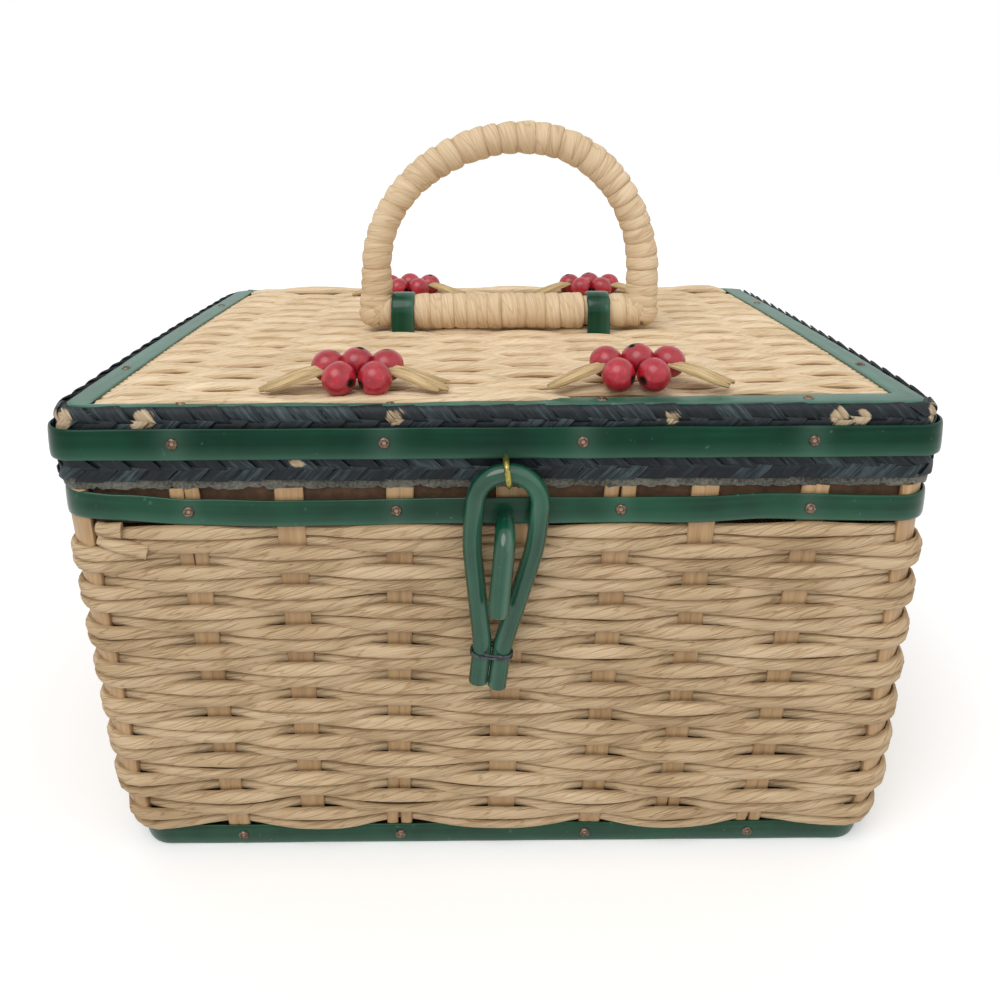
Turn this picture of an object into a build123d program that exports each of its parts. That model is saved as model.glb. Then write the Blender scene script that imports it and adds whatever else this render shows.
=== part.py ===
from build123d import *
import math
import os

os.makedirs("parts", exist_ok=True)

# Sizes are in millimetres. The front faces -Y, and the basket stands on Z = 0.

# Body wall, measured at the middle surface of its stakes
wall_half_width = 145.1
wall_half_depth = 109.1
wall_top = 144.5
wall_corner_radius = 11.0
wall_lean = 0.0505
foot_height = 34.0
foot_radius = 110.0
foot_bends = 3

# Flat reed stakes of the body
stake_width = 9.0
stake_thickness = 1.6
stake_foot = 0.3
front_stake_x = (-100.5, -69.0, -33.0, 1.0, 41.0, 68.0, 105.5)
side_stake_y = (-70.0, -35.0, 0.0, 35.0, 70.0)

# Paper cord courses of the body
course_count = 16
course_thickness = 2.2
course_gap = 0.2
weave_clearance = 0.1
corner_clearance = 0.2

# Strips, hoop, board and lining of the body
strip_thickness = 1.2
base_band_height = 9.2
rim_band_bottom = 131.3
rim_band_top = 142.1
rim_band_reach = 0.6
hoop_thickness = 2.0
board_thickness = 4.0
lining_thickness = 2.0
lining_clearance = 0.3

# Lid, measured at the outside of its braid
lid_overhang = 3.3
lid_corner_radius = 10.0
lid_top = 173.2
braid_thickness = 3.2
side_band_bottom = 155.4
side_band_height = 12.6
top_band_width = 11.0
top_band_corner_radius = 2.0
fleece_thickness = 1.4
liner_thickness = 1.5
liner_overlap = 1.8
lid_stake_width = 8.0
lid_stake_thickness = 1.4
lid_stake_margin = 25.1
lid_stake_count = 10
lid_row_margin = 16.15
lid_row_count = 25
lid_cord_thickness = 2.0
braid_rise = 0.5

# Rivets
rivet_radius = 1.95
rivet_height = 0.8
rivet_sides = 6
wall_rivet_x = (-100.5, -33.0, 41.0, 105.5)
wall_rivet_y = (-70.0, 0.0, 70.0)
lid_rivet_x = (-107.0, -37.0, 28.0, 103.0)
lid_rivet_y = (-72.0, 0.0, 72.0)
top_rivet_x = (-104.0, -35.0, 35.0, 104.0)
top_rivet_y = (-62.0, 62.0)

# Handle, a wire D under a wrapping of paper cord
handle_x = 7.0
handle_half_width = 60.0
handle_height = 94.0
handle_cord = 5.4
handle_core_radius = 2.2
handle_core_sides = 4
arch_sides = 6
end_sides = 12
strap_x = (-39.7, 49.0)
strap_width = 10.0
strap_clearance = 0.4
strap_sides = 12

# Berries and leaves
bead_radius = 5.9
bead_sides = 8
bead_rings = ((0.6, 0.8), (0.94, 0.34))
cluster_places = {
    "front_left": (-48.5, -97.0),
    "front_right": (49.5, -92.0),
    "back_left": (-45.0, 91.0),
    "back_right": (57.0, 91.0),
}
clusters_on_the_strip = ("front_left",)
front_bead_spacing = 11.95
back_bead_spacing = 12.1
bead_row_spacing = 9.9
back_bead_rise = 3.4
leaf_length = 24.0
leaf_half_width = 3.4
leaf_thickness = 1.2
leaf_start = 9.8
leaf_outline = ((0.0, 0.0), (0.2, 0.65), (0.5, 1.0), (0.8, 0.65), (1.0, 0.0))

# Catch: a tube loop that hangs in a staple on the lid, and a peg on the body that hooks over it
catch_x = 3.6
loop_radius = 3.25
loop_sides = 6
loop_length = 77.0
loop_neck = 61.0
loop_shoulder = 23.0
loop_shoulder_half_width = 11.4
loop_crown_half_width = 11.0
loop_neck_half_width = 3.4
loop_crown_radius = 10.4
loop_shoulder_radius = 45.0
loop_neck_radius = 30.0
loop_lean = 5.8
loop_clearance = 0.35
binding_drop = 6.0
binding_height = 3.0
binding_thickness = 0.8
catch_wire_radius = 0.95
catch_wire_sides = 4
peg_radius = 3.1
peg_sides = 6
peg_drop = 17.5
peg_tip_drop = 43.0
peg_bend_radius = 7.5

# Back hinges: a strip on the lid, folded round the bar of a wire staple on the body
hinge_x = (-85.0, 85.0)
hinge_wire_radius = 1.2
hinge_strip_width = 10.0
hinge_strip_height = 18.0
hinge_bar_length = 17.0
hinge_staple_drop = 4.1
hinge_clearance = 0.08
hinge_sides = 6
hinge_wire_sides = 4

# Gaps between neighbours: pieces that touch, and pieces that move past each other
fit_gap = 0.1
running_gap = 0.3


# Sizes that follow from those above
lid_half_width = wall_half_width + lid_overhang
lid_half_depth = wall_half_depth + lid_overhang
lid_stake_pitch = 2 * (lid_half_width - lid_stake_margin) / (lid_stake_count - 1)
lid_row_pitch = 2 * (lid_half_depth - lid_row_margin) / lid_row_count
hinge_staple_foot = rim_band_top - hinge_staple_drop


def wall_drift(z):
    """How far the stakes lie inside their place at the wall's top, at height z."""
    bend = max(0.0, foot_height - z)
    return wall_lean * (wall_top - z) + bend**2 / (2 * foot_radius)


def wall_slope(z):
    """The wall's slope at height z, as a tangent."""
    return wall_lean + max(0.0, foot_height - z) / foot_radius


def outline(width, depth, radius, folded):
    """A rectangle whose corners are round, or cut off straight inside that round."""
    with BuildSketch(mode=Mode.PRIVATE) as face:
        if folded:
            Rectangle(width, depth)
            chamfer(face.vertices(), radius)
        else:
            RectangleRounded(width, depth, radius)
    return face.sketch


def wall_block(low, high, out, ease=0.0, folded=False):
    """A block that follows the wall, `out` from the stakes' middle.

    Its corners are rounder by `ease`, and cut off straight if it is folded from card.
    """
    with BuildPart() as block:
        for z in (low, high):
            grow = out - wall_drift(z)
            radius = wall_corner_radius + out + ease
            with BuildSketch(Plane.XY.offset(z)):
                add(outline(2 * (wall_half_width + grow), 2 * (wall_half_depth + grow), radius, folded))
        loft(ruled=True)
    return block.part


def lid_block(low, high, inset, folded=False):
    """A block with the lid's outline, moved in by `inset`, between two heights."""
    radius = max(lid_corner_radius - inset, top_band_corner_radius)
    with BuildPart() as block:
        with BuildSketch(Plane.XY.offset(low)):
            add(outline(2 * (lid_half_width - inset), 2 * (lid_half_depth - inset), radius, folded))
        extrude(amount=high - low)
    return block.part


def wall_point(place, z, out, along=0.0):
    """A point at height z beside a stake, `out` from its middle and `along` to its side."""
    x, y, nx, ny = place
    length = math.hypot(nx, ny)
    return (
        x - nx * wall_drift(z) + (nx * out - ny * along) / length,
        y - ny * wall_drift(z) + (ny * out + nx * along) / length,
        z,
    )


# Places of the stakes, as x, y and the outward direction, in order round the wall
# A corner stake is flat, so its edges touch the rounded corner and its middle lies inside it
corner_reach = math.sqrt((wall_corner_radius + stake_thickness / 2) ** 2 - (stake_width / 2) ** 2)
corner_reach -= stake_thickness / 2
corner_ease = (wall_corner_radius - corner_reach) / (math.sqrt(2) - 1)
corner_inset = wall_corner_radius - corner_reach * math.sqrt(0.5)
corner_x = wall_half_width - corner_inset
corner_y = wall_half_depth - corner_inset
front_places = [(x, -wall_half_depth, 0, -1) for x in front_stake_x]
right_places = [(wall_half_width, y, 1, 0) for y in side_stake_y]
back_places = [(x, wall_half_depth, 0, 1) for x in reversed(front_stake_x)]
left_places = [(-wall_half_width, y, -1, 0) for y in reversed(side_stake_y)]
corner_places = [
    (-corner_x, -corner_y, -1, -1),
    (corner_x, -corner_y, 1, -1),
    (corner_x, corner_y, 1, 1),
    (-corner_x, corner_y, -1, 1),
]
wall_places = [corner_places[0], *front_places, corner_places[1], *right_places]
wall_places += [corner_places[2], *back_places, corner_places[3], *left_places]


def stake(place):
    """One flat reed stake: straight above the foot height, and bent in below it."""
    x, y, nx, ny = place
    length = math.hypot(nx, ny)
    face = Plane(
        origin=(x, y, 0), x_dir=(nx / length, ny / length, 0), z_dir=(ny / length, -nx / length, 0)
    )
    bends = [foot_height - step * (foot_height - stake_foot) / foot_bends for step in range(foot_bends + 1)]
    middle = [(-length * wall_drift(z), z) for z in (wall_top, *bends)]
    half = stake_thickness / 2
    with BuildPart() as strip:
        with BuildSketch(face):
            with BuildLine():
                Polyline(
                    *[(out + half, z) for out, z in middle],
                    *[(out - half, z) for out, z in reversed(middle)],
                    close=True,
                )
            make_face()
        extrude(amount=stake_width / 2, both=True)
    return strip.part


with BuildPart() as front_stakes:
    add([stake(place) for place in front_places])
front_stakes.part.label = "front_stakes"
export_step(front_stakes.part, "parts/front_stakes.step")

with BuildPart() as back_stakes:
    add([stake(place) for place in back_places])
back_stakes.part.label = "back_stakes"
export_step(back_stakes.part, "parts/back_stakes.step")

with BuildPart() as left_stakes:
    add([stake(place) for place in left_places])
left_stakes.part.label = "left_stakes"
export_step(left_stakes.part, "parts/left_stakes.step")

with BuildPart() as right_stakes:
    add([stake(place) for place in right_places])
right_stakes.part.label = "right_stakes"
export_step(right_stakes.part, "parts/right_stakes.step")

with BuildPart() as corner_stakes:
    add([stake(place) for place in corner_places])
corner_stakes.part.label = "corner_stakes"
export_step(corner_stakes.part, "parts/corner_stakes.step")

# Woven wall: each course goes round the basket, over one stake and under the next,
# and the next course up takes the other side of every stake.
course_pitch = (rim_band_bottom - base_band_height) / course_count
places_x = sorted(front_stake_x)
closest_stakes = min(b - a for a, b in zip(places_x, places_x[1:]))
pass_offset = stake_thickness / 2 + weave_clearance + course_thickness / 2
peak_offset = pass_offset / (1 - stake_width / closest_stakes)
corner_pass = pass_offset + corner_clearance


def course_outline(course, z, out):
    """The outline of one course at height z: one point at each wall stake, two at each corner."""
    points = []
    for index, place in enumerate(wall_places):
        side = -1 if (index + course) % 2 == 0 else 1
        if abs(place[2]) == abs(place[3]):
            flat = stake_width / 2 + weave_clearance + course_gap + out * math.tan(math.pi / 8)
            for along in (-flat, flat):
                points.append(wall_point(place, z, side * corner_pass + out, along))
        else:
            points.append(wall_point(place, z, side * peak_offset + out))
    return [(x, y) for x, y, _ in points]


def woven_course(course):
    """One closed course as a ring that leans with the wall."""
    top = rim_band_bottom - course * course_pitch - course_gap / 2
    bottom = top - course_pitch + course_gap
    with BuildPart() as ring:
        for out, mode in ((course_thickness / 2, Mode.ADD), (-course_thickness / 2, Mode.SUBTRACT)):
            for z in (bottom, top):
                with BuildSketch(Plane.XY.offset(z)):
                    with BuildLine():
                        Polyline(*course_outline(course, z, out), close=True)
                    make_face()
            loft(ruled=True, mode=mode)
    return ring.part


with BuildPart() as body_weave:
    add([woven_course(course) for course in range(course_count)])
body_weave.part.label = "body_weave"
export_step(body_weave.part, "parts/body_weave.step")

# Base: a board inside the stakes' feet, and a strip round them
board_inset = stake_thickness / 2 + running_gap
with BuildPart() as bottom_board:
    with BuildSketch():
        RectangleRounded(
            2 * (wall_half_width - wall_drift(stake_foot) - board_inset),
            2 * (wall_half_depth - wall_drift(stake_foot) - board_inset),
            wall_corner_radius - board_inset + corner_ease,
        )
    extrude(amount=board_thickness)
bottom_board.part.label = "bottom_board"
export_step(bottom_board.part, "parts/bottom_board.step")

foot_bulge = math.sqrt(2) * base_band_height**2 / (8 * foot_radius)
base_band_inside = stake_thickness / 2 + fit_gap + foot_bulge
with BuildPart() as base_band:
    add(wall_block(0, base_band_height, base_band_inside + strip_thickness))
    add(wall_block(0, base_band_height, base_band_inside), mode=Mode.SUBTRACT)
base_band.part.label = "base_band"
export_step(base_band.part, "parts/base_band.step")

# Rim: a hoop inside the stakes' upper ends, and a strip outside them
hoop_outside = -stake_thickness / 2 - fit_gap
hoop_bottom = rim_band_bottom + course_gap
with BuildPart() as rim_hoop:
    add(wall_block(hoop_bottom, wall_top, hoop_outside, corner_ease))
    add(wall_block(hoop_bottom, wall_top, hoop_outside - hoop_thickness, corner_ease), mode=Mode.SUBTRACT)
rim_hoop.part.label = "rim_hoop"
export_step(rim_hoop.part, "parts/rim_hoop.step")

rim_band_inside = stake_thickness / 2 + rim_band_reach
with BuildPart() as rim_band:
    add(wall_block(rim_band_bottom, rim_band_top, rim_band_inside + strip_thickness))
    add(wall_block(rim_band_bottom, rim_band_top, rim_band_inside), mode=Mode.SUBTRACT)
rim_band.part.label = "rim_band"
export_step(rim_band.part, "parts/rim_band.step")


def rivet(place, outward):
    """One rivet head that stands on a strip."""
    with BuildPart() as head:
        with BuildSketch(Plane(origin=place, z_dir=outward)):
            RegularPolygon(rivet_radius, rivet_sides)
        extrude(amount=rivet_height)
    return head.part


def wall_rivets(z, out):
    """Rivet heads on a strip of the wall, four on each long side and three on each short one."""
    places = [(x, side * wall_half_depth, 0, side) for x in wall_rivet_x for side in (-1, 1)]
    places += [(side * wall_half_width, y, side, 0) for y in wall_rivet_y for side in (-1, 1)]
    return [
        rivet(wall_point(place, z, out), (place[2], place[3], -wall_slope(z))) for place in places
    ]


with BuildPart() as base_rivets:
    add(wall_rivets(base_band_height / 2, base_band_inside + strip_thickness + fit_gap))
base_rivets.part.label = "base_rivets"
export_step(base_rivets.part, "parts/base_rivets.step")

with BuildPart() as rim_rivets:
    add(wall_rivets((rim_band_bottom + rim_band_top) / 2, rim_band_inside + strip_thickness + fit_gap))
rim_rivets.part.label = "rim_rivets"
export_step(rim_rivets.part, "parts/rim_rivets.step")

# Lining: an open tray of covered card that stands on the board inside the woven wall
lining_outside = -peak_offset - course_thickness / 2 - lining_clearance
lining_bottom = board_thickness + fit_gap
lining_floor = lining_bottom + lining_thickness
lining_top = wall_top - running_gap
lining_inside = lining_outside - lining_thickness
with BuildPart() as body_lining:
    add(wall_block(lining_bottom, foot_height, lining_outside, folded=True))
    add(wall_block(foot_height, lining_top, lining_outside, folded=True))
    add(wall_block(lining_floor, foot_height, lining_inside, folded=True), mode=Mode.SUBTRACT)
    add(wall_block(foot_height, lining_top, lining_inside, folded=True), mode=Mode.SUBTRACT)
body_lining.part.label = "body_lining"
export_step(body_lining.part, "parts/body_lining.step")

# Lid frame: a hoop in a collar of braid, on a fleece edge that rests on the rim
lid_seat = wall_top + running_gap
hoop_low = lid_seat + fleece_thickness + fit_gap
hoop_inset = braid_thickness + fit_gap
top_band_top = lid_top - braid_rise
top_band_bottom = top_band_top - strip_thickness
stake_middle = top_band_bottom - fit_gap - lid_cord_thickness / 2
hoop_high = stake_middle - lid_cord_thickness / 2 - fit_gap

with BuildPart() as lid_hoop:
    add(lid_block(hoop_low, hoop_high, hoop_inset, folded=True))
    add(lid_block(hoop_low, hoop_high, hoop_inset + hoop_thickness, folded=True), mode=Mode.SUBTRACT)
lid_hoop.part.label = "lid_hoop"
export_step(lid_hoop.part, "parts/lid_hoop.step")

with BuildPart() as lid_braid:
    add(lid_block(hoop_low, lid_top, 0))
    add(lid_block(hoop_low, lid_top, braid_thickness), mode=Mode.SUBTRACT)
lid_braid.part.label = "lid_braid"
export_step(lid_braid.part, "parts/lid_braid.step")

side_band_top = side_band_bottom + side_band_height
side_band_inset = -fit_gap - strip_thickness
with BuildPart() as lid_side_band:
    add(lid_block(side_band_bottom, side_band_top, side_band_inset))
    add(lid_block(side_band_bottom, side_band_top, -fit_gap), mode=Mode.SUBTRACT)
lid_side_band.part.label = "lid_side_band"
export_step(lid_side_band.part, "parts/lid_side_band.step")

with BuildPart() as lid_top_band:
    add(lid_block(top_band_bottom, top_band_top, hoop_inset))
    add(lid_block(top_band_bottom, top_band_top, hoop_inset + top_band_width), mode=Mode.SUBTRACT)
lid_top_band.part.label = "lid_top_band"
export_step(lid_top_band.part, "parts/lid_top_band.step")

# Lid panel: stakes from front to back, and rows of cord that pass over and under them
stake_reach = lid_half_depth - hoop_inset - fit_gap
lid_stake_x = [(index - (lid_stake_count - 1) / 2) * lid_stake_pitch for index in range(lid_stake_count)]
with BuildPart() as lid_stakes:
    with Locations(*[(x, 0, stake_middle) for x in lid_stake_x]):
        Box(lid_stake_width, 2 * stake_reach, lid_stake_thickness)
lid_stakes.part.label = "lid_stakes"
export_step(lid_stakes.part, "parts/lid_stakes.step")

lid_pass_offset = lid_stake_thickness / 2 + weave_clearance + lid_cord_thickness / 2
lid_peak_offset = lid_pass_offset / (1 - lid_stake_width / lid_stake_pitch)
panel_top = stake_middle + lid_peak_offset + lid_cord_thickness / 2
row_end = lid_half_width - hoop_inset - fit_gap
row_flat = row_end - top_band_width
row_width = lid_row_pitch - course_gap


def lid_row(row):
    """One row of cord across the lid, with its ends flat under the top strip."""
    y = (row - (lid_row_count - 1) / 2) * lid_row_pitch
    humps = [(x, lid_peak_offset * (-1) ** (row + index)) for index, x in enumerate(lid_stake_x)]
    first = math.copysign(lid_pass_offset, humps[0][1])
    last = math.copysign(lid_pass_offset, humps[-1][1])
    row_edge = lid_stake_x[-1] + lid_stake_width / 2
    middle = [(-row_end, 0.0), (-row_flat, 0.0), (-row_edge, first)]
    middle += [*humps, (row_edge, last), (row_flat, 0.0), (row_end, 0.0)]
    half = lid_cord_thickness / 2
    over = [(x, stake_middle + z + half) for x, z in middle]
    under = [(x, stake_middle + z - half) for x, z in reversed(middle)]
    with BuildPart() as cord:
        with BuildSketch(Plane.XZ.offset(-y - row_width / 2)):
            with BuildLine():
                Polyline(*over, *under, close=True)
            make_face()
        extrude(amount=row_width)
    return cord.part


with BuildPart() as lid_weave:
    add([lid_row(row) for row in range(lid_row_count)])
lid_weave.part.label = "lid_weave"
export_step(lid_weave.part, "parts/lid_weave.step")

# Lid liner: a shallow tray under the panel, with the fleece edge that the lid rests on
liner_inset = hoop_inset + hoop_thickness + fit_gap
liner_top = stake_middle - lid_peak_offset - lid_cord_thickness / 2 - running_gap
with BuildPart() as lid_liner:
    add(lid_block(lid_seat, liner_top, liner_inset, folded=True))
    add(lid_block(lid_seat, lid_seat + fleece_thickness, hoop_inset - liner_overlap, folded=True))
    hollow = lid_block(lid_seat, liner_top - liner_thickness, liner_inset + liner_thickness, folded=True)
    add(hollow, mode=Mode.SUBTRACT)
lid_liner.part.label = "lid_liner"
export_step(lid_liner.part, "parts/lid_liner.step")

rivet_level = side_band_bottom + side_band_height / 2
side_face_x = lid_half_width - side_band_inset
side_face_y = lid_half_depth - side_band_inset
with BuildPart() as lid_side_rivets:
    for side in (-1, 1):
        add([rivet((x, side * side_face_y, rivet_level), (0, side, 0)) for x in lid_rivet_x])
        add([rivet((side * side_face_x, y, rivet_level), (side, 0, 0)) for y in lid_rivet_y])
lid_side_rivets.part.label = "lid_side_rivets"
export_step(lid_side_rivets.part, "parts/lid_side_rivets.step")

with BuildPart() as lid_top_rivets:
    strip_middle = hoop_inset + top_band_width / 2
    places = [(x, side * (lid_half_depth - strip_middle)) for x in top_rivet_x for side in (-1, 1)]
    places += [(side * (lid_half_width - strip_middle), y) for y in top_rivet_y for side in (-1, 1)]
    with BuildSketch(Plane.XY.offset(top_band_top)):
        with Locations(*places):
            RegularPolygon(rivet_radius, rivet_sides)
    extrude(amount=rivet_height)
lid_top_rivets.part.label = "lid_top_rivets"
export_step(lid_top_rivets.part, "parts/lid_top_rivets.step")

# Handle: its bar lies on the lid and turns in two straps, and its arch stands on the bar's ends
handle_radius = handle_core_radius + fit_gap + handle_cord
wrap_radius = handle_core_radius + fit_gap + handle_cord / 2
bar_level = panel_top + running_gap + handle_radius
arch_level = panel_top + handle_height - handle_radius - handle_half_width
end_top = bar_level + handle_radius

left = handle_x - handle_half_width
right = handle_x + handle_half_width


def arch_rod(start, radius, sides):
    """The arch of the D from one height on its legs, as a rod with a polygon for its section."""
    with BuildPart() as rod:
        with BuildSketch(Plane.XY.offset(start)):
            with Locations((left, 0), (right, 0)):
                RegularPolygon(radius, sides)
        extrude(amount=arch_level - start)
        with BuildSketch(Plane.XY.offset(arch_level)):
            with Locations((left, 0)):
                RegularPolygon(radius, sides)
        revolve(axis=Axis((handle_x, 0, arch_level), (0, 1, 0)), revolution_arc=180)
    return rod.part


with BuildPart() as handle_core:
    add(arch_rod(bar_level - handle_core_radius, handle_core_radius, handle_core_sides))
    with BuildSketch(Plane.YZ.offset(left)):
        with Locations((0, bar_level)):
            RegularPolygon(handle_core_radius, handle_core_sides)
    extrude(amount=2 * handle_half_width)
handle_core.part.label = "handle_core"
export_step(handle_core.part, "parts/handle_core.step")

# The cord's knots over the ends of the bar
core_hole = handle_core_radius + fit_gap / math.cos(math.pi / handle_core_sides)
with BuildPart() as handle_ends:
    for x in (left, right):
        with BuildSketch(Plane.YZ.offset(x)):
            with Locations((0, bar_level)):
                RegularPolygon(handle_radius, end_sides)
        extrude(amount=handle_radius, both=True)
    chamfer(handle_ends.faces().filter_by(Axis.X).edges(), handle_cord / 3)
    with BuildSketch(Plane.XY.offset(bar_level)):
        with Locations((left, 0), (right, 0)):
            RegularPolygon(handle_radius, end_sides)
    extrude(amount=handle_radius)
    with BuildSketch(Plane.XY.offset(bar_level - core_hole)):
        with Locations((left, 0), (right, 0)):
            RegularPolygon(core_hole, handle_core_sides)
    extrude(amount=end_top, mode=Mode.SUBTRACT)
    with BuildSketch(Plane.YZ.offset(left)):
        with Locations((0, bar_level)):
            RegularPolygon(core_hole, handle_core_sides)
    extrude(amount=2 * handle_half_width, mode=Mode.SUBTRACT)
handle_ends.part.label = "handle_ends"
export_step(handle_ends.part, "parts/handle_ends.step")

wrap_start = end_top + running_gap
bar_wrap_reach = handle_half_width - handle_radius - running_gap
with BuildPart() as arch_wrap:
    add(arch_rod(wrap_start, handle_radius, arch_sides))
    add(arch_rod(end_top, core_hole, handle_core_sides), mode=Mode.SUBTRACT)
arch_wrap.part.label = "arch_wrap"
export_step(arch_wrap.part, "parts/arch_wrap.step")

with BuildPart() as bar_wrap:
    with BuildSketch(Plane.YZ.offset(handle_x)):
        with Locations((0, bar_level)):
            Circle(handle_radius)
            RegularPolygon(core_hole, handle_core_sides, mode=Mode.SUBTRACT)
    extrude(amount=bar_wrap_reach, both=True)
bar_wrap.part.label = "bar_wrap"
export_step(bar_wrap.part, "parts/bar_wrap.step")

# Straps that hold the bar down on the lid
strap_inside = handle_radius + strap_clearance
strap_foot = bar_level - panel_top - fit_gap
with BuildPart() as handle_straps:
    for x in strap_x:
        with BuildSketch(Plane.YZ.offset(x - strap_width / 2)):
            for inside, mode in ((strap_inside + strip_thickness, Mode.ADD), (strap_inside, Mode.SUBTRACT)):
                with Locations((0, bar_level)):
                    RegularPolygon(inside, strap_sides, major_radius=False, mode=mode)
                with Locations((0, bar_level - strap_foot / 2)):
                    Rectangle(2 * inside, strap_foot, mode=mode)
            with Locations((0, bar_level - strap_foot)):
                Rectangle(
                    4 * strap_inside, 2 * strap_inside, align=(Align.CENTER, Align.MAX), mode=Mode.SUBTRACT
                )
        extrude(amount=strap_width)
handle_straps.part.label = "handle_straps"
export_step(handle_straps.part, "parts/handle_straps.step")

# Berries: five beads on each cluster, two in front on the lid and three raised behind them
bead_height = fit_gap + bead_rings[-1][0] * bead_radius
bead_offsets = [
    (-front_bead_spacing / 2, -bead_row_spacing / 2, 0),
    (front_bead_spacing / 2, -bead_row_spacing / 2, 0),
    (-back_bead_spacing, bead_row_spacing / 2, back_bead_rise),
    (0, bead_row_spacing / 2, back_bead_rise),
    (back_bead_spacing, bead_row_spacing / 2, back_bead_rise),
]


def bead():
    """One faceted bead round its own centre."""
    level, radius = 0.0, bead_radius
    with BuildPart() as ball:
        for height, share in bead_rings:
            rise = height * bead_radius - level
            taper = math.degrees(math.atan((radius - share * bead_radius) / rise))
            with BuildSketch(Plane.XY.offset(level)):
                RegularPolygon(radius, bead_sides, major_radius=False, rotation=180 / bead_sides)
            extrude(amount=rise, taper=taper)
            level, radius = height * bead_radius, share * bead_radius
        mirror(about=Plane.XY)
    return ball.part


for name, (cluster_x, cluster_y) in cluster_places.items():
    bead_level = bead_height + (top_band_top if name in clusters_on_the_strip else panel_top)
    with BuildPart() as berries:
        with Locations(*[(cluster_x + dx, cluster_y + dy, bead_level + dz) for dx, dy, dz in bead_offsets]):
            add(bead())
    berries.part.label = f"{name}_berries"
    export_step(berries.part, f"parts/{name}_berries.step")

    with BuildPart() as leaves:
        with BuildSketch(Plane.XY.offset(panel_top + fit_gap)):
            for side in (-1, 1):
                edge = [
                    (side * (leaf_start + along * leaf_length), out * leaf_half_width)
                    for along, out in leaf_outline
                ]
                edge += [(x, -y) for x, y in reversed(edge[1:-1])]
                with Locations((cluster_x, cluster_y)):
                    Polygon(*edge, align=None)
        extrude(amount=leaf_thickness)
    leaves.part.label = f"{name}_leaves"
    export_step(leaves.part, f"parts/{name}_leaves.step")

# Catch loop: a tube bent to a long loop, bound at its neck, that hangs in the staple
lid_front = -(lid_half_depth - side_band_inset)
loop_y = lid_front - loop_clearance - loop_radius
staple_inside = loop_radius + loop_clearance
staple_low = hoop_low + fit_gap + catch_wire_radius
loop_level = staple_low + catch_wire_radius + staple_inside
staple_high = loop_level + staple_inside + catch_wire_radius
staple_y = loop_y - staple_inside - catch_wire_radius
loop_plane = Plane(
    origin=(catch_x, loop_y, loop_level), x_dir=(1, 0, 0), z_dir=(0, -1, 0)
).rotated((0, 0, -loop_lean))

with BuildPart() as loop_tube:
    with BuildLine(loop_plane):
        FilletPolyline(
            (-loop_neck_half_width, -loop_length),
            (-loop_neck_half_width, -loop_neck),
            (-loop_shoulder_half_width, -loop_shoulder),
            (-loop_crown_half_width, 0),
            (loop_crown_half_width, 0),
            (loop_shoulder_half_width, -loop_shoulder),
            (loop_neck_half_width, -loop_neck),
            (loop_neck_half_width, -loop_length),
            radius=(
                loop_neck_radius,
                loop_shoulder_radius,
                loop_crown_radius,
                loop_crown_radius,
                loop_shoulder_radius,
                loop_neck_radius,
            ),
        )
    foot_point = loop_plane.from_local_coords((-loop_neck_half_width, -loop_length, 0))
    with BuildSketch(Plane(foot_point, x_dir=loop_plane.x_dir, z_dir=loop_plane.y_dir)):
        RegularPolygon(loop_radius, loop_sides)
    sweep()
loop_tube.part.label = "loop_tube"
export_step(loop_tube.part, "parts/loop_tube.step")

with BuildPart() as loop_binding:
    across = loop_neck_half_width + loop_radius + fit_gap
    around = loop_radius + fit_gap
    binding_foot = loop_plane.from_local_coords((0, -loop_neck - binding_drop, 0))
    with BuildSketch(Plane(binding_foot, x_dir=loop_plane.x_dir, z_dir=loop_plane.y_dir)) as ring:
        Rectangle(2 * (across + binding_thickness), 2 * (around + binding_thickness))
        chamfer(ring.vertices(), binding_thickness)
        Rectangle(2 * across, 2 * around, mode=Mode.SUBTRACT)
    extrude(amount=binding_height)
loop_binding.part.label = "loop_binding"
export_step(loop_binding.part, "parts/loop_binding.step")

with BuildPart() as catch_staple:
    with BuildLine(Plane.YZ.offset(catch_x)):
        FilletPolyline(
            (lid_front, staple_high),
            (staple_y, staple_high),
            (staple_y, staple_low),
            (-lid_half_depth - fit_gap, staple_low),
            radius=2 * catch_wire_radius,
        )
    with BuildSketch(Plane((catch_x, lid_front, staple_high), z_dir=(0, -1, 0))):
        RegularPolygon(catch_wire_radius, catch_wire_sides)
    sweep()
catch_staple.part.label = "catch_staple"
export_step(catch_staple.part, "parts/catch_staple.step")

# Peg on the body: out of the rim strip through the loop, then down in front of it, along its lean
rim_face = rim_band_inside + strip_thickness
peg_way = -loop_plane.y_dir
peg_x = catch_x + peg_drop * peg_way.X
peg_level = loop_level + peg_drop * peg_way.Z
front_face = (peg_x, -wall_half_depth, 0, -1)
peg_root = wall_point(front_face, peg_level + peg_radius, rim_face)[1] - fit_gap
peg_front = loop_y - loop_radius - loop_clearance - peg_radius
with BuildPart() as catch_peg:
    with BuildLine():
        start = Vector(peg_x, peg_root, peg_level)
        corner = Vector(peg_x, peg_front, peg_level)
        FilletPolyline(start, corner, corner + peg_way * (peg_tip_drop - peg_drop), radius=peg_bend_radius)
    with BuildSketch(Plane(origin=start, z_dir=(0, -1, 0))):
        RegularPolygon(peg_radius, peg_sides)
    sweep()
    chamfer(catch_peg.faces().sort_by(Axis.Z)[0].edges(), peg_radius / 3)
catch_peg.part.label = "catch_peg"
export_step(catch_peg.part, "parts/catch_peg.step")

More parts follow.
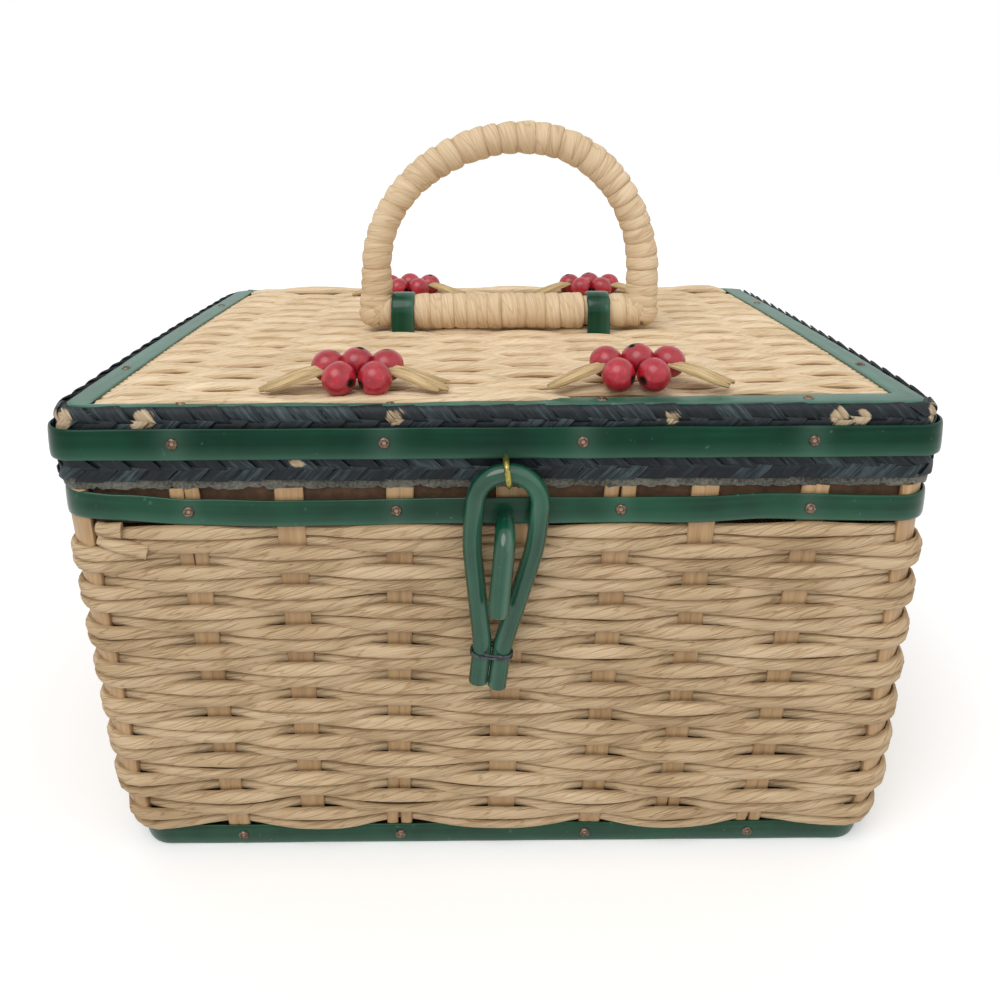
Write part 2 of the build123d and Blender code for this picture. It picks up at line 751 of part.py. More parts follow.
# Back hinges: each strip of the lid hangs on the bar of a staple that stands on the rim strip
strip_eye = hinge_wire_radius + hinge_clearance
hinge_y = side_face_y + fit_gap + strip_thickness + strip_eye
hinge_level = hoop_low + hinge_wire_radius
back_face = (0, wall_half_depth, 0, 1)
staple_root = wall_point(back_face, rim_band_top, rim_face)[1] + fit_gap
with BuildPart() as hinge_staples:
    for x in hinge_x:
        half_bar = hinge_bar_length / 2
        foot_left = Vector(x - half_bar, staple_root - hinge_wire_radius, hinge_staple_foot)
        foot_right = Vector(x + half_bar, staple_root - hinge_wire_radius, hinge_staple_foot)
        with BuildLine():
            FilletPolyline(
                foot_left,
                (x - half_bar, hinge_y, hinge_level),
                (x + half_bar, hinge_y, hinge_level),
                foot_right,
                radius=2 * hinge_wire_radius,
            )
        rise = Vector(0, hinge_y, hinge_level) - Vector(0, staple_root - hinge_wire_radius, hinge_staple_foot)
        with BuildSketch(Plane(origin=foot_left, z_dir=rise)):
            RegularPolygon(hinge_wire_radius, hinge_wire_sides)
        sweep()
    split(bisect_by=Plane.XZ.offset(-staple_root), keep=Keep.BOTTOM)
hinge_staples.part.label = "hinge_staples"
export_step(hinge_staples.part, "parts/hinge_staples.step")

with BuildPart() as hinge_strips:
    for x in hinge_x:
        with BuildSketch(Plane.YZ.offset(x - hinge_strip_width / 2)):
            with Locations((hinge_y, hinge_level)):
                RegularPolygon(
                    strip_eye + strip_thickness, hinge_sides, major_radius=False, rotation=180 / hinge_sides
                )
            with Locations((hinge_y - strip_eye - strip_thickness, hinge_level)):
                Rectangle(strip_thickness, hinge_strip_height, align=(Align.MIN, Align.MIN))
            with Locations((hinge_y, hinge_level)):
                Circle(strip_eye, mode=Mode.SUBTRACT)
        extrude(amount=hinge_strip_width)
hinge_strips.part.label = "hinge_strips"
export_step(hinge_strips.part, "parts/hinge_strips.step")
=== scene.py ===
"""A woven sewing basket: cord wall and lid, green strips, braid, wrapped handle, berries and catch."""

import logging
import math
import random
from dataclasses import dataclass, field
from enum import Enum
from typing import Callable, Optional, Sequence

import bmesh
import bpy
from mathutils import Matrix, Vector

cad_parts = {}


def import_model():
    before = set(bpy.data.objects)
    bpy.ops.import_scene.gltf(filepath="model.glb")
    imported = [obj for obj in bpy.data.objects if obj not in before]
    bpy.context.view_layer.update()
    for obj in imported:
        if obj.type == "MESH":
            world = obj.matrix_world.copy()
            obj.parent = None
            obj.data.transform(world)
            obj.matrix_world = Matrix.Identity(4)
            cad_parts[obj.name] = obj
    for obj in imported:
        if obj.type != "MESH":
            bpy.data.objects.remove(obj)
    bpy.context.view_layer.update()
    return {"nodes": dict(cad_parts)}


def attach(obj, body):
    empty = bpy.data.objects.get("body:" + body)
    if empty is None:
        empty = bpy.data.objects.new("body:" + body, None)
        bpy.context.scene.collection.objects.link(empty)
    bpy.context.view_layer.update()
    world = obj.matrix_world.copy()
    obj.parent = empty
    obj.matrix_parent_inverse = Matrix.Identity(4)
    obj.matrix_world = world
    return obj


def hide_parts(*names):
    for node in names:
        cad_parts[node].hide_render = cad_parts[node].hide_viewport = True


MM = 0.001
SIDES = (-1, 1)
UP, RIGHT, NEAR = Vector((0, 0, 1)), Vector((1, 0, 0)), Vector((0, -1, 0))
CORNERS = ((-1, -1), (1, -1), (1, 1), (-1, 1))
RIVET = ((0, 0.22), (0.75, 0.2), (0.88, 0.5), (1.2, 0.78), (1.6, 0.66), (1.92, 0.25), (1.95, -0.3), (0, -0.3))
LOG = logging.getLogger("basket")
MADE: dict[str, bpy.types.Material] = {}
Colour = tuple[int, int, int]
Levels = Sequence[tuple[float, float]]
Places = Sequence[tuple[Vector, Vector]]
Course = Callable[[float, float], tuple[Vector, Vector]]


def rgb(colour: Colour) -> tuple[float, ...]:
    """Turns a colour written in 0 to 255 into the linear values that shaders use."""
    shares = [value / 255 for value in colour]
    linear = [share / 12.92 if share <= 0.04045 else ((share + 0.055) / 1.055) ** 2.4 for share in shares]
    return (*linear, 1.0)


def clipped(value: float, low: float = 0.0, high: float = 1.0) -> float:
    """Keeps a value between two limits."""
    return min(max(value, low), high)


def softened(share: float) -> float:
    """Lets an even share from 0 to 1 start and end softly."""
    return share * share * (3 - 2 * share)


def level_at(levels: Levels, place: float) -> float:
    """Reads a smooth line through a few places and levels."""
    if place <= levels[0][0]:
        return levels[0][1]
    for (start, low), (end, high) in zip(levels, levels[1:]):
        if place < end:
            return low + (high - low) * softened((place - start) / (end - start))
    return levels[-1][1]


def flat(spot: Vector, z: float) -> Vector:
    """Lifts a point of the plane to height z."""
    return Vector((spot.x, spot.y, z))


def squared(share: float, power: float) -> list[float]:
    """Goes round a rounded section.

    Args:
        share: How far round, from 0 to 1. It starts at the inner side.
        power: Shape of the section: 2 is an ellipse, more is squarer.

    Returns:
        How far across and how far out, from -1 to 1.
    """
    angle = math.tau * share
    return [math.copysign(abs(value) ** (2 / power), value) for value in (math.sin(angle), -math.cos(angle))]


def dive(first: float, last: float, share: float) -> float:
    """How far a cord lies in front of or behind the stakes between two of them.

    Args:
        first: -1 if it passes behind the first stake, 1 in front, 0 for neither.
        last: The same for the next stake.
        share: Place between the two stakes, from 0 to 1.

    Returns:
        A value from -1 to 1 that changes close to the stake that the cord passes behind.
    """
    eased = share**0.55 if first < last else 1 - (1 - share) ** 0.55
    return first + (last - first) * (1 - math.cos(math.pi * eased)) / 2


def four_sides(wide: float, deep: float, across: Sequence[float], along: Sequence[float]) -> Places:
    """Lists places on the sides of a rectangle.

    Args:
        wide: Half the rectangle's width.
        deep: Half its depth.
        across: Where the places on the long sides are.
        along: Where the places on the short sides are.

    Returns:
        Each place with its outward direction.
    """
    places = [(Vector((x, side * deep, 0)), Vector((0, side, 0))) for x in across for side in SIDES]
    return places + [(Vector((side * wide, y, 0)), Vector((side, 0, 0))) for y in along for side in SIDES]


def painted_sheen_rule(places: Places, reach: float) -> Callable[[Vector], float]:
    """Makes the rule for the painted highlight round each rivet, a pale patch where the dimple that it
    presses into a strip would catch the light.

    Args:
        places: The rivets.
        reach: How far the painted highlight reaches along the strip, in mm.

    Returns:
        A rule that gives the painted highlight's strength at a point.
    """
    return lambda point: math.exp(-((min((point - place).xy.length for place, _ in places) / reach) ** 2))


def worn_rule(places: Sequence[tuple[float, ...]]) -> Callable[[Vector], float]:
    """Makes the rule for the places where the braid's colour has worn off.

    Args:
        places: The middles of the places with their sizes, in mm.

    Returns:
        A rule that gives the wear at a point.
    """
    return lambda point: max(
        math.exp(-(((point - Vector(middle)).length / size) ** 2)) for *middle, size in places
    )


class Wobble:
    """A smooth unevenness that repeats after one turn, between about -1 and 1."""

    def __init__(self, seed: int, low: int = 3, high: int = 24, waves: int = 6) -> None:
        """Chooses the waves.

        Args:
            seed: Makes each strand's unevenness its own.
            low: Fewest waves in one turn.
            high: Most waves in one turn.
            waves: How many waves are added up.
        """
        dice = random.Random(seed)
        self.waves = [(dice.randint(low, high), dice.uniform(0, math.tau)) for _ in range(waves)]

    def at(self, turn: float) -> float:
        """The unevenness at a share of the turn."""
        total = sum(math.sin(math.tau * count * turn + phase) for count, phase in self.waves)
        return total / math.sqrt(len(self.waves)) / 1.4


@dataclass
class Ring:
    """One cross-section of a strand: its middle, its two directions and its half sizes, in mm."""

    centre: Vector
    wide: Vector
    thick: Vector
    half_width: float
    half_thick: float
    power: float = 2.0

    def point(self, share: float) -> Vector:
        """A point on the section's edge, for a share of the way round."""
        across, out = squared(share, self.power)
        return self.centre + self.wide * (across * self.half_width) + self.thick * (out * self.half_thick)


class Shell:
    """A mesh that grows piece by piece, from swept strands, spun profiles and grids."""

    def __init__(self) -> None:
        """Starts an empty mesh with one UV map."""
        self.mesh = bmesh.new()
        self.mesh.loops.layers.uv.new("UVMap")
        self.count = 0

    def take(self, part: bmesh.types.BMesh) -> None:
        """Adds a finished part and frees it."""
        data = bpy.data.meshes.new("part")
        part.to_mesh(data)
        part.free()
        self.mesh.from_mesh(data)
        bpy.data.meshes.remove(data)
        self.count += 1

    def grid(
        self,
        steps: int,
        across: int,
        place: Callable[[int, int], Vector],
        along: Sequence[float],
        closed: bool = False,
        tube: bool = True,
    ) -> None:
        """Bends a flat grid into a strand, a shell or a sheet.

        Args:
            steps: Faces along the grid.
            across: Faces across it.
            place: Gives the point for a column and a row, in mm.
            along: Length in mm at each column. The UV map has it in cm.
            closed: Whether the last column is the first one again.
            tube: Whether the last row is the first one again.
        """
        part = bmesh.new()
        uv = part.loops.layers.uv.new("UVMap")
        bmesh.ops.create_grid(part, x_segments=steps, y_segments=across, size=0.5)
        spots = {}
        for vert in part.verts:
            spots[vert] = (round((vert.co.x + 0.5) * steps), round((vert.co.y + 0.5) * across))
        for face in part.faces:
            for loop in face.loops:
                column, row = spots[loop.vert]
                loop[uv].uv = (along[column] / 10, row / across + self.count)
        for vert, (column, row) in spots.items():
            vert.co = place(column % steps if closed else column, row % across if tube else row) * MM
        bmesh.ops.remove_doubles(part, verts=part.verts, dist=1e-8)
        edges = [edge for edge in part.edges if edge.is_boundary]
        if tube and not closed and edges:
            bmesh.ops.holes_fill(part, edges=edges, sides=0)
        bmesh.ops.recalc_face_normals(part, faces=part.faces)
        self.take(part)

    def strand(self, rings: Sequence[Ring], around: int, closed: bool = False) -> None:
        """Sweeps a section along its rings.

        Args:
            rings: The sections in order.
            around: Sides of the section.
            closed: Whether the strand joins its own start.
        """
        along = [0.0]
        for ring, after in zip(rings, [*rings[1:], *(rings[:1] if closed else [])]):
            along.append(along[-1] + (after.centre - ring.centre).length)
        self.grid(
            len(along) - 1, around, lambda column, row: rings[column].point(row / around), along, closed
        )

    def spin(self, profile: Levels, place: Matrix, steps: int) -> None:
        """Turns a profile round an axis and puts it in place. UV x holds the radius in mm.

        Args:
            profile: Radius and height pairs in mm, from one end of the axis to the other.
            place: Turns and moves the piece from its own axis, in mm.
            steps: Sides round the axis.
        """
        part = bmesh.new()
        verts = [part.verts.new((radius, 0, height)) for radius, height in profile]
        edges = [part.edges.new(pair) for pair in zip(verts, verts[1:])]
        turn = {"axis": UP, "cent": (0, 0, 0), "angle": math.tau, "steps": steps, "use_merge": True}
        bmesh.ops.spin(part, geom=verts + edges, **turn)
        bmesh.ops.remove_doubles(part, verts=part.verts, dist=1e-4)
        bmesh.ops.recalc_face_normals(part, faces=part.faces)
        uv = part.loops.layers.uv.new("UVMap")
        for face in part.faces:
            for loop in face.loops:
                spot = loop.vert.co
                loop[uv].uv = (math.hypot(spot.x, spot.y), math.atan2(spot.y, spot.x) / math.tau + self.count)
        bmesh.ops.transform(part, matrix=Matrix.Scale(MM, 4) @ place, verts=part.verts)
        self.take(part)

    def build(
        self,
        name: str,
        shade: "Shade",
        body: str,
        slot: str,
        *replaced: str,
        sharp: float = 40.0,
        **marks: Callable[[Vector], float],
    ) -> None:
        """Makes the object, dresses it and lets it ride.

        Args:
            name: The piece's name.
            shade: Its finish.
            body: The body that carries it.
            slot: The material slot of the record. It is not used.
            replaced: The solids that it stands for.
            sharp: Edges that turn by more than this angle stay sharp, in degrees.
            marks: Attributes that the finish reads, each with the rule for its value at a point in mm.
        """
        data = bpy.data.meshes.new(name)
        self.mesh.to_mesh(data)
        self.mesh.free()
        data.shade_smooth()
        data.set_sharp_from_angle(angle=math.radians(sharp))
        data.materials.append(shade.value.material())
        for label, rule in marks.items():
            marked = data.attributes.new(label, "FLOAT", "POINT")
            marked.data.foreach_set("value", [rule(vert.co / MM) for vert in data.vertices])
        piece = bpy.data.objects.new(name, data)
        bpy.context.scene.collection.objects.link(piece)
        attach(piece, body)
        if replaced:
            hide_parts(*replaced)
        LOG.info("%s: %d faces, rides on %s", name, len(data.polygons), body)


class Line:
    """A strand's middle line in the making, in mm."""

    def __init__(self) -> None:
        """Starts without a point."""
        self.points: list[Vector] = []
        self.faces: list[Vector] = []
        self.sizes: list[tuple[float, float]] = []

    def add(self, point: Vector, face: Vector, half_width: float, half_thick: float) -> None:
        """Adds a point, with the direction of the visible face there and the half sizes."""
        self.points.append(point)
        self.faces.append(face)
        self.sizes.append((half_width, half_thick))

    def sweep(self, shell: Shell, power: float, around: int, closed: bool = False) -> None:
        """Adds the strand to a mesh.

        Args:
            shell: The mesh that takes it.
            power: Shape of its section: 2 is an ellipse, more is squarer.
            around: Sides of the section.
            closed: Whether the strand joins its own start.
        """
        rings = []
        last = len(self.points) - 1
        for index, (point, face, sizes) in enumerate(zip(self.points, self.faces, self.sizes)):
            before = self.points[index - 1 if index or closed else 0]
            after = self.points[(index + 1) % (last + 1) if closed or index < last else last]
            way = (after - before).normalized()
            wide = face.cross(way).normalized()
            rings.append(Ring(point, wide, way.cross(wide).normalized(), *sizes, power))
        shell.strand(rings, around, closed)


def bent(points: Sequence[Vector], radii: Sequence[float], step: float, spacing: float) -> list[Vector]:
    """Rounds the corners of a bent wire, strip or tube.

    Args:
        points: Ends and corners, in mm.
        radii: Bend radius at each corner between the ends.
        step: Distance of the points in a bend, in mm.
        spacing: Distance of the points on straight runs, at most.

    Returns:
        Points along the bent line.
    """
    line = [points[0]]
    for corner, before, after, radius in zip(points[1:], points, points[2:], radii):
        way_in, way_out = (corner - before).normalized(), (after - corner).normalized()
        turn = way_in.angle(way_out)
        toward = (way_out - way_in * way_in.dot(way_out)).normalized()
        centre = corner - way_in * (radius * math.tan(turn / 2)) + toward * radius
        count = max(2, math.ceil(radius * turn / step))
        for index in range(count + 1):
            angle = turn * index / count
            line.append(centre + way_in * (radius * math.sin(angle)) - toward * (radius * math.cos(angle)))
    line.append(points[-1])
    spaced = [line[0]]
    for before, after in zip(line, line[1:]):
        count = max(1, math.ceil((after - before).length / spacing))
        spaced += [before.lerp(after, index / count) for index in range(1, count + 1)]
    return spaced


def tube(shell: Shell, points: Sequence[Vector], radii: Sequence[float], start: Vector, around: int) -> None:
    """Sweeps a round section along a line without twisting it.

    Args:
        shell: The mesh that takes it.
        points: The middle line, in mm.
        radii: The radius at each point.
        start: A direction square to the line's start.
        around: Sides of the section.
    """
    line = Line()
    line.add(points[0], start, radii[0], radii[0])
    ways = [(after - before).normalized() for before, after in zip(points, points[1:])]
    for point, radius, before, after in zip(points[1:], radii[1:], ways, [*ways[1:], ways[-1]]):
        face = before.rotation_difference(after) @ line.faces[-1]
        line.add(point, (face - after * face.dot(after)).normalized(), radius, radius)
    line.sweep(shell, 2.0, around)


class Tree:
    """A node tree, built from short calls."""

    def __init__(self, tree: bpy.types.NodeTree) -> None:
        """Takes the tree over."""
        self.tree = tree

    def node(self, kind: str, output: object = 0, **values: object) -> "Flow":
        """Adds a node.

        Args:
            kind: Its type without the prefix ShaderNode.
            output: Which output is returned.
            values: Settings in small letters, and inputs by name with spaces as _, or as i0, i1.

        Returns:
            The wanted output.
        """
        node = self.tree.nodes.new("ShaderNode" + kind)
        for key, value in values.items():
            if hasattr(node, key):
                setattr(node, key, value)
        for key, value in values.items():
            if not hasattr(node, key):
                name = int(key[1:]) if key[0] == "i" and key[1:].isdigit() else key.replace("_", " ")
                self.feed(node.inputs[name], value)
        return Flow(self, node.outputs[output])

    def feed(self, socket: bpy.types.NodeSocket, value: object) -> None:
        """Links a socket, or sets its value."""
        if isinstance(value, Flow):
            self.tree.links.new(value.socket, socket)
        else:
            socket.default_value = value

    def end(self, name: str, shader: "Flow") -> None:
        """Links the tree's last node."""
        self.feed(self.tree.nodes[name].inputs["Surface"], shader)

    def strand(self) -> "Flow":
        """The UV map: x along a strand, y round it."""
        return self.node("UVMap", uv_map="UVMap")

    def place(self) -> "Flow":
        """The object's own coordinates."""
        return self.node("TexCoord", "Object")

    def mark(self, name: str) -> "Flow":
        """An attribute of the mesh."""
        return self.node("Attribute", "Fac", attribute_name=name)


@dataclass(frozen=True)
class Flow:
    """A value, vector or colour on its way through a tree. It can be reckoned with."""

    tree: Tree
    socket: bpy.types.NodeSocket

    def math(self, operation: str, other: object = 0.0) -> "Flow":
        """Adds a Math node."""
        return self.tree.node("Math", operation=operation, i0=self, i1=other)

    def __add__(self, other: object) -> "Flow":
        """Adds a value."""
        return self.math("ADD", other)

    def __sub__(self, other: object) -> "Flow":
        """Takes a value away."""
        return self.math("SUBTRACT", other)

    def __mul__(self, other: object) -> "Flow":
        """Multiplies by a value."""
        return self.math("MULTIPLY", other)

    def axis(self, name: str) -> "Flow":
        """One number of a vector."""
        return self.tree.node("SeparateXYZ", name, Vector=self)

    def ramp(self, *stops: tuple[float, Colour]) -> "Flow":
        """Turns a value into a colour between stops, each a place and a colour."""
        ramp = self.tree.node("ValToRGB", i0=self)
        bar = ramp.socket.node.color_ramp.elements
        while len(bar) < len(stops):
            bar.new(0.5)
        for element, (place, colour) in zip(bar, stops):
            element.position, element.color = place, rgb(colour)
        return ramp

    def span(self, low: float, high: float, start: float = 0.0, end: float = 1.0) -> "Flow":
        """Maps a value from low..high to start..end and clips it."""
        return self.tree.node("MapRange", i0=self, i1=low, i2=high, i3=start, i4=end)

    def mixed(self, first: object, second: object) -> "Flow":
        """Mixes two colours, by as much of the second as this value says."""
        first, second = (value if isinstance(value, Flow) else rgb(value) for value in (first, second))
        return self.tree.node("Mix", 2, data_type="RGBA", blend_type="MIX", i0=self, i6=first, i7=second)

    def stretched(self, scale: Sequence[float], shear: float = 0.0) -> "Flow":
        """Stretches coordinates, and first shears the second one by the first."""
        source = self
        if shear:
            x, y, z = (self.axis(name) for name in "XYZ")
            source = self.tree.node("CombineXYZ", X=x, Y=x * shear + y, Z=z)
        return self.tree.node("VectorMath", operation="MULTIPLY", i0=source, i1=scale)

    def noise(self, scale: float = 1.0, detail: float = 3.0, rough: float = 0.55) -> "Flow":
        """The value of a noise texture at this place."""
        return self.tree.node("TexNoise", "Fac", Vector=self, Scale=scale, Detail=detail, Roughness=rough)


class Sheet(Tree):
    """A material's node tree."""

    def __init__(self, name: str) -> None:
        """Makes the material with its surface shader."""
        self.material = bpy.data.materials.new(name)
        self.material.use_nodes = True
        super().__init__(self.material.node_tree)
        self.surface = self.tree.nodes["Principled BSDF"]

    def dress(
        self,
        colour: object,
        roughness: object,
        height: Optional[Flow] = None,
        depth: float = 0.2,
        **settings: object,
    ) -> bpy.types.Material:
        """Finishes the material.

        Args:
            colour: Base colour.
            roughness: Roughness.
            height: Drives the bump, if given.
            depth: Height of the bump in mm.
            settings: Further inputs of the surface shader.

        Returns:
            The material.
        """
        for key, value in {"Base_Color": colour, "Roughness": roughness, **settings}.items():
            self.feed(self.surface.inputs[key.replace("_", " ")], value)
        if height:
            bump = self.node("Bump", Strength=1.0, Distance=depth * MM, Height=height)
            self.feed(self.surface.inputs["Normal"], bump)
        return self.material


@dataclass(frozen=True)
class Finish:
    """A finish that makes its material once."""

    name: str

    def material(self) -> bpy.types.Material:
        """The finish's material."""
        if self.name not in MADE:
            MADE[self.name] = self.make(Sheet(self.name))
        return MADE[self.name]

    def make(self, sheet: Sheet) -> bpy.types.Material:
        """Builds the material's nodes."""
        raise NotImplementedError


@dataclass(frozen=True)
class PaperCord(Finish):
    """Flattened paper cord: fine fibres along the strand, deeper creases with painted shade in them, sides
    darkened by painted groove shade, and a dull face.
    """

    dark: Colour = (138, 112, 80)
    middle: Colour = (178, 152, 118)
    light: Colour = (207, 184, 152)
    fibres: float = 40.0
    depth: float = 0.24
    twist: float = 0.15
    # How much painted shade darkens a strand's sides, standing in for the shade in the grooves between cords.
    groove_shade: float = 0.09

    def make(self, sheet: Sheet) -> bpy.types.Material:
        """Builds the material's nodes."""
        strand = sheet.strand()
        fine = strand.stretched((0.7, self.fibres, 1), self.twist).noise(1.0, 3.0, 0.6)
        crease = strand.stretched((0.45, 6.0, 1), self.twist * 1.6).noise(1.0, 1.0, 0.5)
        # Painted shade: the crease lines also darken the colour below, besides the bump that they drive.
        fold = (crease - 0.5).math("ABSOLUTE").span(0.0, 0.035)
        broad = strand.stretched((0.3, 1.0, 1)).noise(1.0, 1.0)
        cloud = sheet.place().noise(28.0, 2.0)
        # Painted shade: darkens each strand toward its sides, where the grooves between cords lie.
        groove_shade = strand.axis("Y").math("PINGPONG", 0.5).span(0.27, 0.41, -self.groove_shade, 0.0)
        total = fine * 0.26 + fold * 0.07 + (groove_shade + 0.045) + broad * 0.13 + cloud * 0.13
        colour = total.ramp((0.26, self.dark), (0.355, self.middle), (0.45, self.light))
        return sheet.dress(colour, 0.78, fine * 0.6 + fold * 0.5, self.depth, Specular_IOR_Level=0.25)


@dataclass(frozen=True)
class Reed(Finish):
    """Flat reed or bent wood with grain along its length."""

    dark: Colour = (150, 117, 80)
    light: Colour = (190, 157, 117)
    grain: tuple[float, float, float] = (700.0, 700.0, 18.0)
    roughness: float = 0.45

    def make(self, sheet: Sheet) -> bpy.types.Material:
        """Builds the material's nodes."""
        place = sheet.place()
        grain = place.stretched(self.grain).noise(1.0, 3.0, 0.6)
        colour = (grain * 0.65 + place.noise(45.0, 2.0) * 0.5).ramp((0.35, self.dark), (0.78, self.light))
        return sheet.dress(colour, self.roughness, grain, 0.12, Specular_IOR_Level=0.35)


@dataclass(frozen=True)
class GreenStrip(Finish):
    """Glossy green plastic with faint lengthwise streaks, scuffs, a painted floor reflection that pales the
    lower part, and a painted highlight round each rivet.
    """

    dark: Colour = (2, 50, 32)
    light: Colour = (14, 72, 49)
    roughness: float = 0.2
    shine: float = 0.3

    def make(self, sheet: Sheet) -> bpy.types.Material:
        """Builds the material's nodes."""
        strand, place = sheet.strand(), sheet.place()
        streak = strand.stretched((0.12, 14.0, 1)).noise(1.0, 2.0)
        cloud = place.noise(40.0, 3.0, 0.6)
        scuff = place.noise(300.0, 2.0).span(0.70, 0.76)
        colour = (streak * 0.35 + cloud * 0.6).ramp((0.36, self.dark), (0.62, self.light))
        colour = (scuff * 0.2).mixed(colour, (110, 150, 130))
        # Painted highlight: a pale patch round each rivet.
        colour = (sheet.mark("painted_rivet_sheen") * 0.16).mixed(colour, (108, 140, 126))
        # Painted reflection: a paler band on the lower part of the outer face stands in for the floor
        # reflected in the gloss.
        across = strand.axis("Y").math("FRACT")
        pale = across.span(0.5, 0.64) * across.span(0.66, 0.72, 1.0, 0.0)
        colour = (pale * 0.3).mixed(colour, (92, 132, 114))
        rough = cloud * 0.14 + (self.roughness - 0.06)
        return sheet.dress(colour, rough, cloud + streak, 0.06, Specular_IOR_Level=self.shine)


@dataclass(frozen=True)
class Plait(Finish):
    """Navy braid: fibrous strands with painted highlights along their edges, and frayed tan where the mesh is
    marked as worn.
    """

    def make(self, sheet: Sheet) -> bpy.types.Material:
        """Builds the material's nodes."""
        strand = sheet.strand()
        fine = strand.stretched((1.0, 26.0, 1)).noise(1.0, 4.0, 0.65)
        across = strand.axis("Y")
        luck = sheet.node("TexWhiteNoise", "Value", noise_dimensions="1D", W=across.math("FLOOR"))
        total = fine * 0.75 + luck * 0.2
        colour = total.ramp((0.36, (6, 12, 17)), (0.5, (20, 29, 34)), (0.68, (62, 76, 80)))
        # Painted highlight: thin pale lines along each leaf's edges.
        rim = (across.math("PINGPONG", 0.5) - 0.27).math("ABSOLUTE").span(0.0, 0.03, 1.0, 0.0)
        colour = (rim * 0.4).mixed(colour, (132, 146, 150))
        worn = (sheet.mark("worn") * 0.9 + (luck * 0.5 + fine * 0.6)).span(0.99, 1.1)
        colour = (worn * 0.85).mixed(colour, fine.ramp((0.3, (126, 102, 74)), (0.7, (214, 192, 158))))
        return sheet.dress(colour, 0.5, fine, 0.25, Specular_IOR_Level=0.28)


@dataclass(frozen=True)
class Cloth(Finish):
    """Fleece with a soft nap, or woven cloth over brown card whose bare side is painted dark: its own brown,
    deepened as painted shade where it shows through gaps.
    """

    dark: Colour = (34, 34, 30)
    light: Colour = (122, 122, 111)
    scale: float = 900.0
    depth: float = 0.6
    weave: bool = False

    def make(self, sheet: Sheet) -> bpy.types.Material:
        """Builds the material's nodes."""
        place = sheet.place()
        nap = place.noise(self.scale, 4.0, 0.7)
        if self.weave:
            bands = {"bands_direction": "DIAGONAL", "Vector": place, "Scale": 420.0, "Distortion": 1.0}
            nap = nap * 0.6 + sheet.node("TexWave", "Fac", **bands) * 0.4
        colour = (nap * 0.6 + place.noise(60.0, 3.0) * 0.4).ramp((0.35, self.dark), (0.65, self.light))
        if self.weave:
            # Bare card: its own brown, darkened as painted shade for where it shows through the gaps of the
            # weave.
            card = nap.ramp((0.3, (48, 33, 22)), (0.7, (84, 60, 42)))
            colour = sheet.mark("card").mixed(colour, card)
        return sheet.dress(colour, 0.92, nap, self.depth, Specular_IOR_Level=0.1, Sheen_Weight=0.3)


@dataclass(frozen=True)
class Metal(Finish):
    """Plain or lacquered metal with fine wear."""

    colour: Colour = (180, 172, 90)
    worn: Colour = (120, 108, 62)
    roughness: float = 0.32
    metallic: float = 0.85

    def make(self, sheet: Sheet) -> bpy.types.Material:
        """Builds the material's nodes."""
        wear = sheet.place().noise(700.0, 4.0, 0.65)
        rough = wear.span(0.3, 0.7, self.roughness + 0.15, self.roughness - 0.08)
        colour = wear.ramp((0.36, self.worn), (0.6, self.colour))
        return sheet.dress(colour, rough, wear, 0.05, Metallic=self.metallic)


@dataclass(frozen=True)
class RivetMetal(Finish):
    """Hollow rivet: copper-grey rim, a dark ring of painted shade in its hollow, pale filling in its middle.
    """

    def make(self, sheet: Sheet) -> bpy.types.Material:
        """Builds the material's nodes."""
        wear = sheet.place().noise(900.0, 3.0)
        share = sheet.strand().axis("X") * 0.5
        rim = wear.ramp((0.35, (62, 48, 40)), (0.65, (138, 116, 98)))
        # Painted shade: the dark stop darkens the inner wall of the hollow.
        middle = share.ramp((0.30, (158, 128, 110)), (0.42, (40, 28, 22)))
        colour = share.span(0.40, 0.50).mixed(middle, rim)
        return sheet.dress(colour, 0.38, wear, 0.05, Metallic=share.span(0.44, 0.52, 0.0, 0.75))


@dataclass(frozen=True)
class BerrySkin(Finish):
    """Red wooden bead with a waxy bloom and a dark hole."""

    def make(self, sheet: Sheet) -> bpy.types.Material:
        """Builds the material's nodes."""
        place = sheet.place()
        cloud = place.noise(260.0, 4.0, 0.6)
        colour = cloud.ramp((0.3, (130, 6, 22)), (0.55, (164, 16, 38)), (0.78, (192, 62, 76)))
        colour = (place.noise(1500.0, 2.0).span(0.68, 0.76) * 0.25).mixed(colour, (226, 150, 154))
        edge = sheet.strand().axis("X") - (cloud * 0.5 + 0.5) * 0.6
        colour = edge.span(1.0, 1.5).mixed((46, 28, 16), colour)
        coat = {"Specular_IOR_Level": 0.45, "Coat_Weight": 0.35, "Coat_Roughness": 0.22}
        return sheet.dress(colour, 0.34, cloud, 0.06, **coat)


@dataclass(frozen=True)
class Raffia(Finish):
    """Dry raffia: straight fibres in tan and olive."""

    def make(self, sheet: Sheet) -> bpy.types.Material:
        """Builds the material's nodes."""
        strand = sheet.strand()
        fine = strand.stretched((0.5, 26.0, 1), 0.03).noise(1.0, 4.0, 0.6)
        total = fine * 0.7 + strand.stretched((0.6, 4.0, 1)).noise(1.0, 2.0) * 0.35
        colour = total.ramp((0.36, (120, 94, 56)), (0.52, (190, 162, 116)), (0.7, (226, 204, 164)))
        return sheet.dress(colour, 0.6, fine, 0.45, Specular_IOR_Level=0.3)


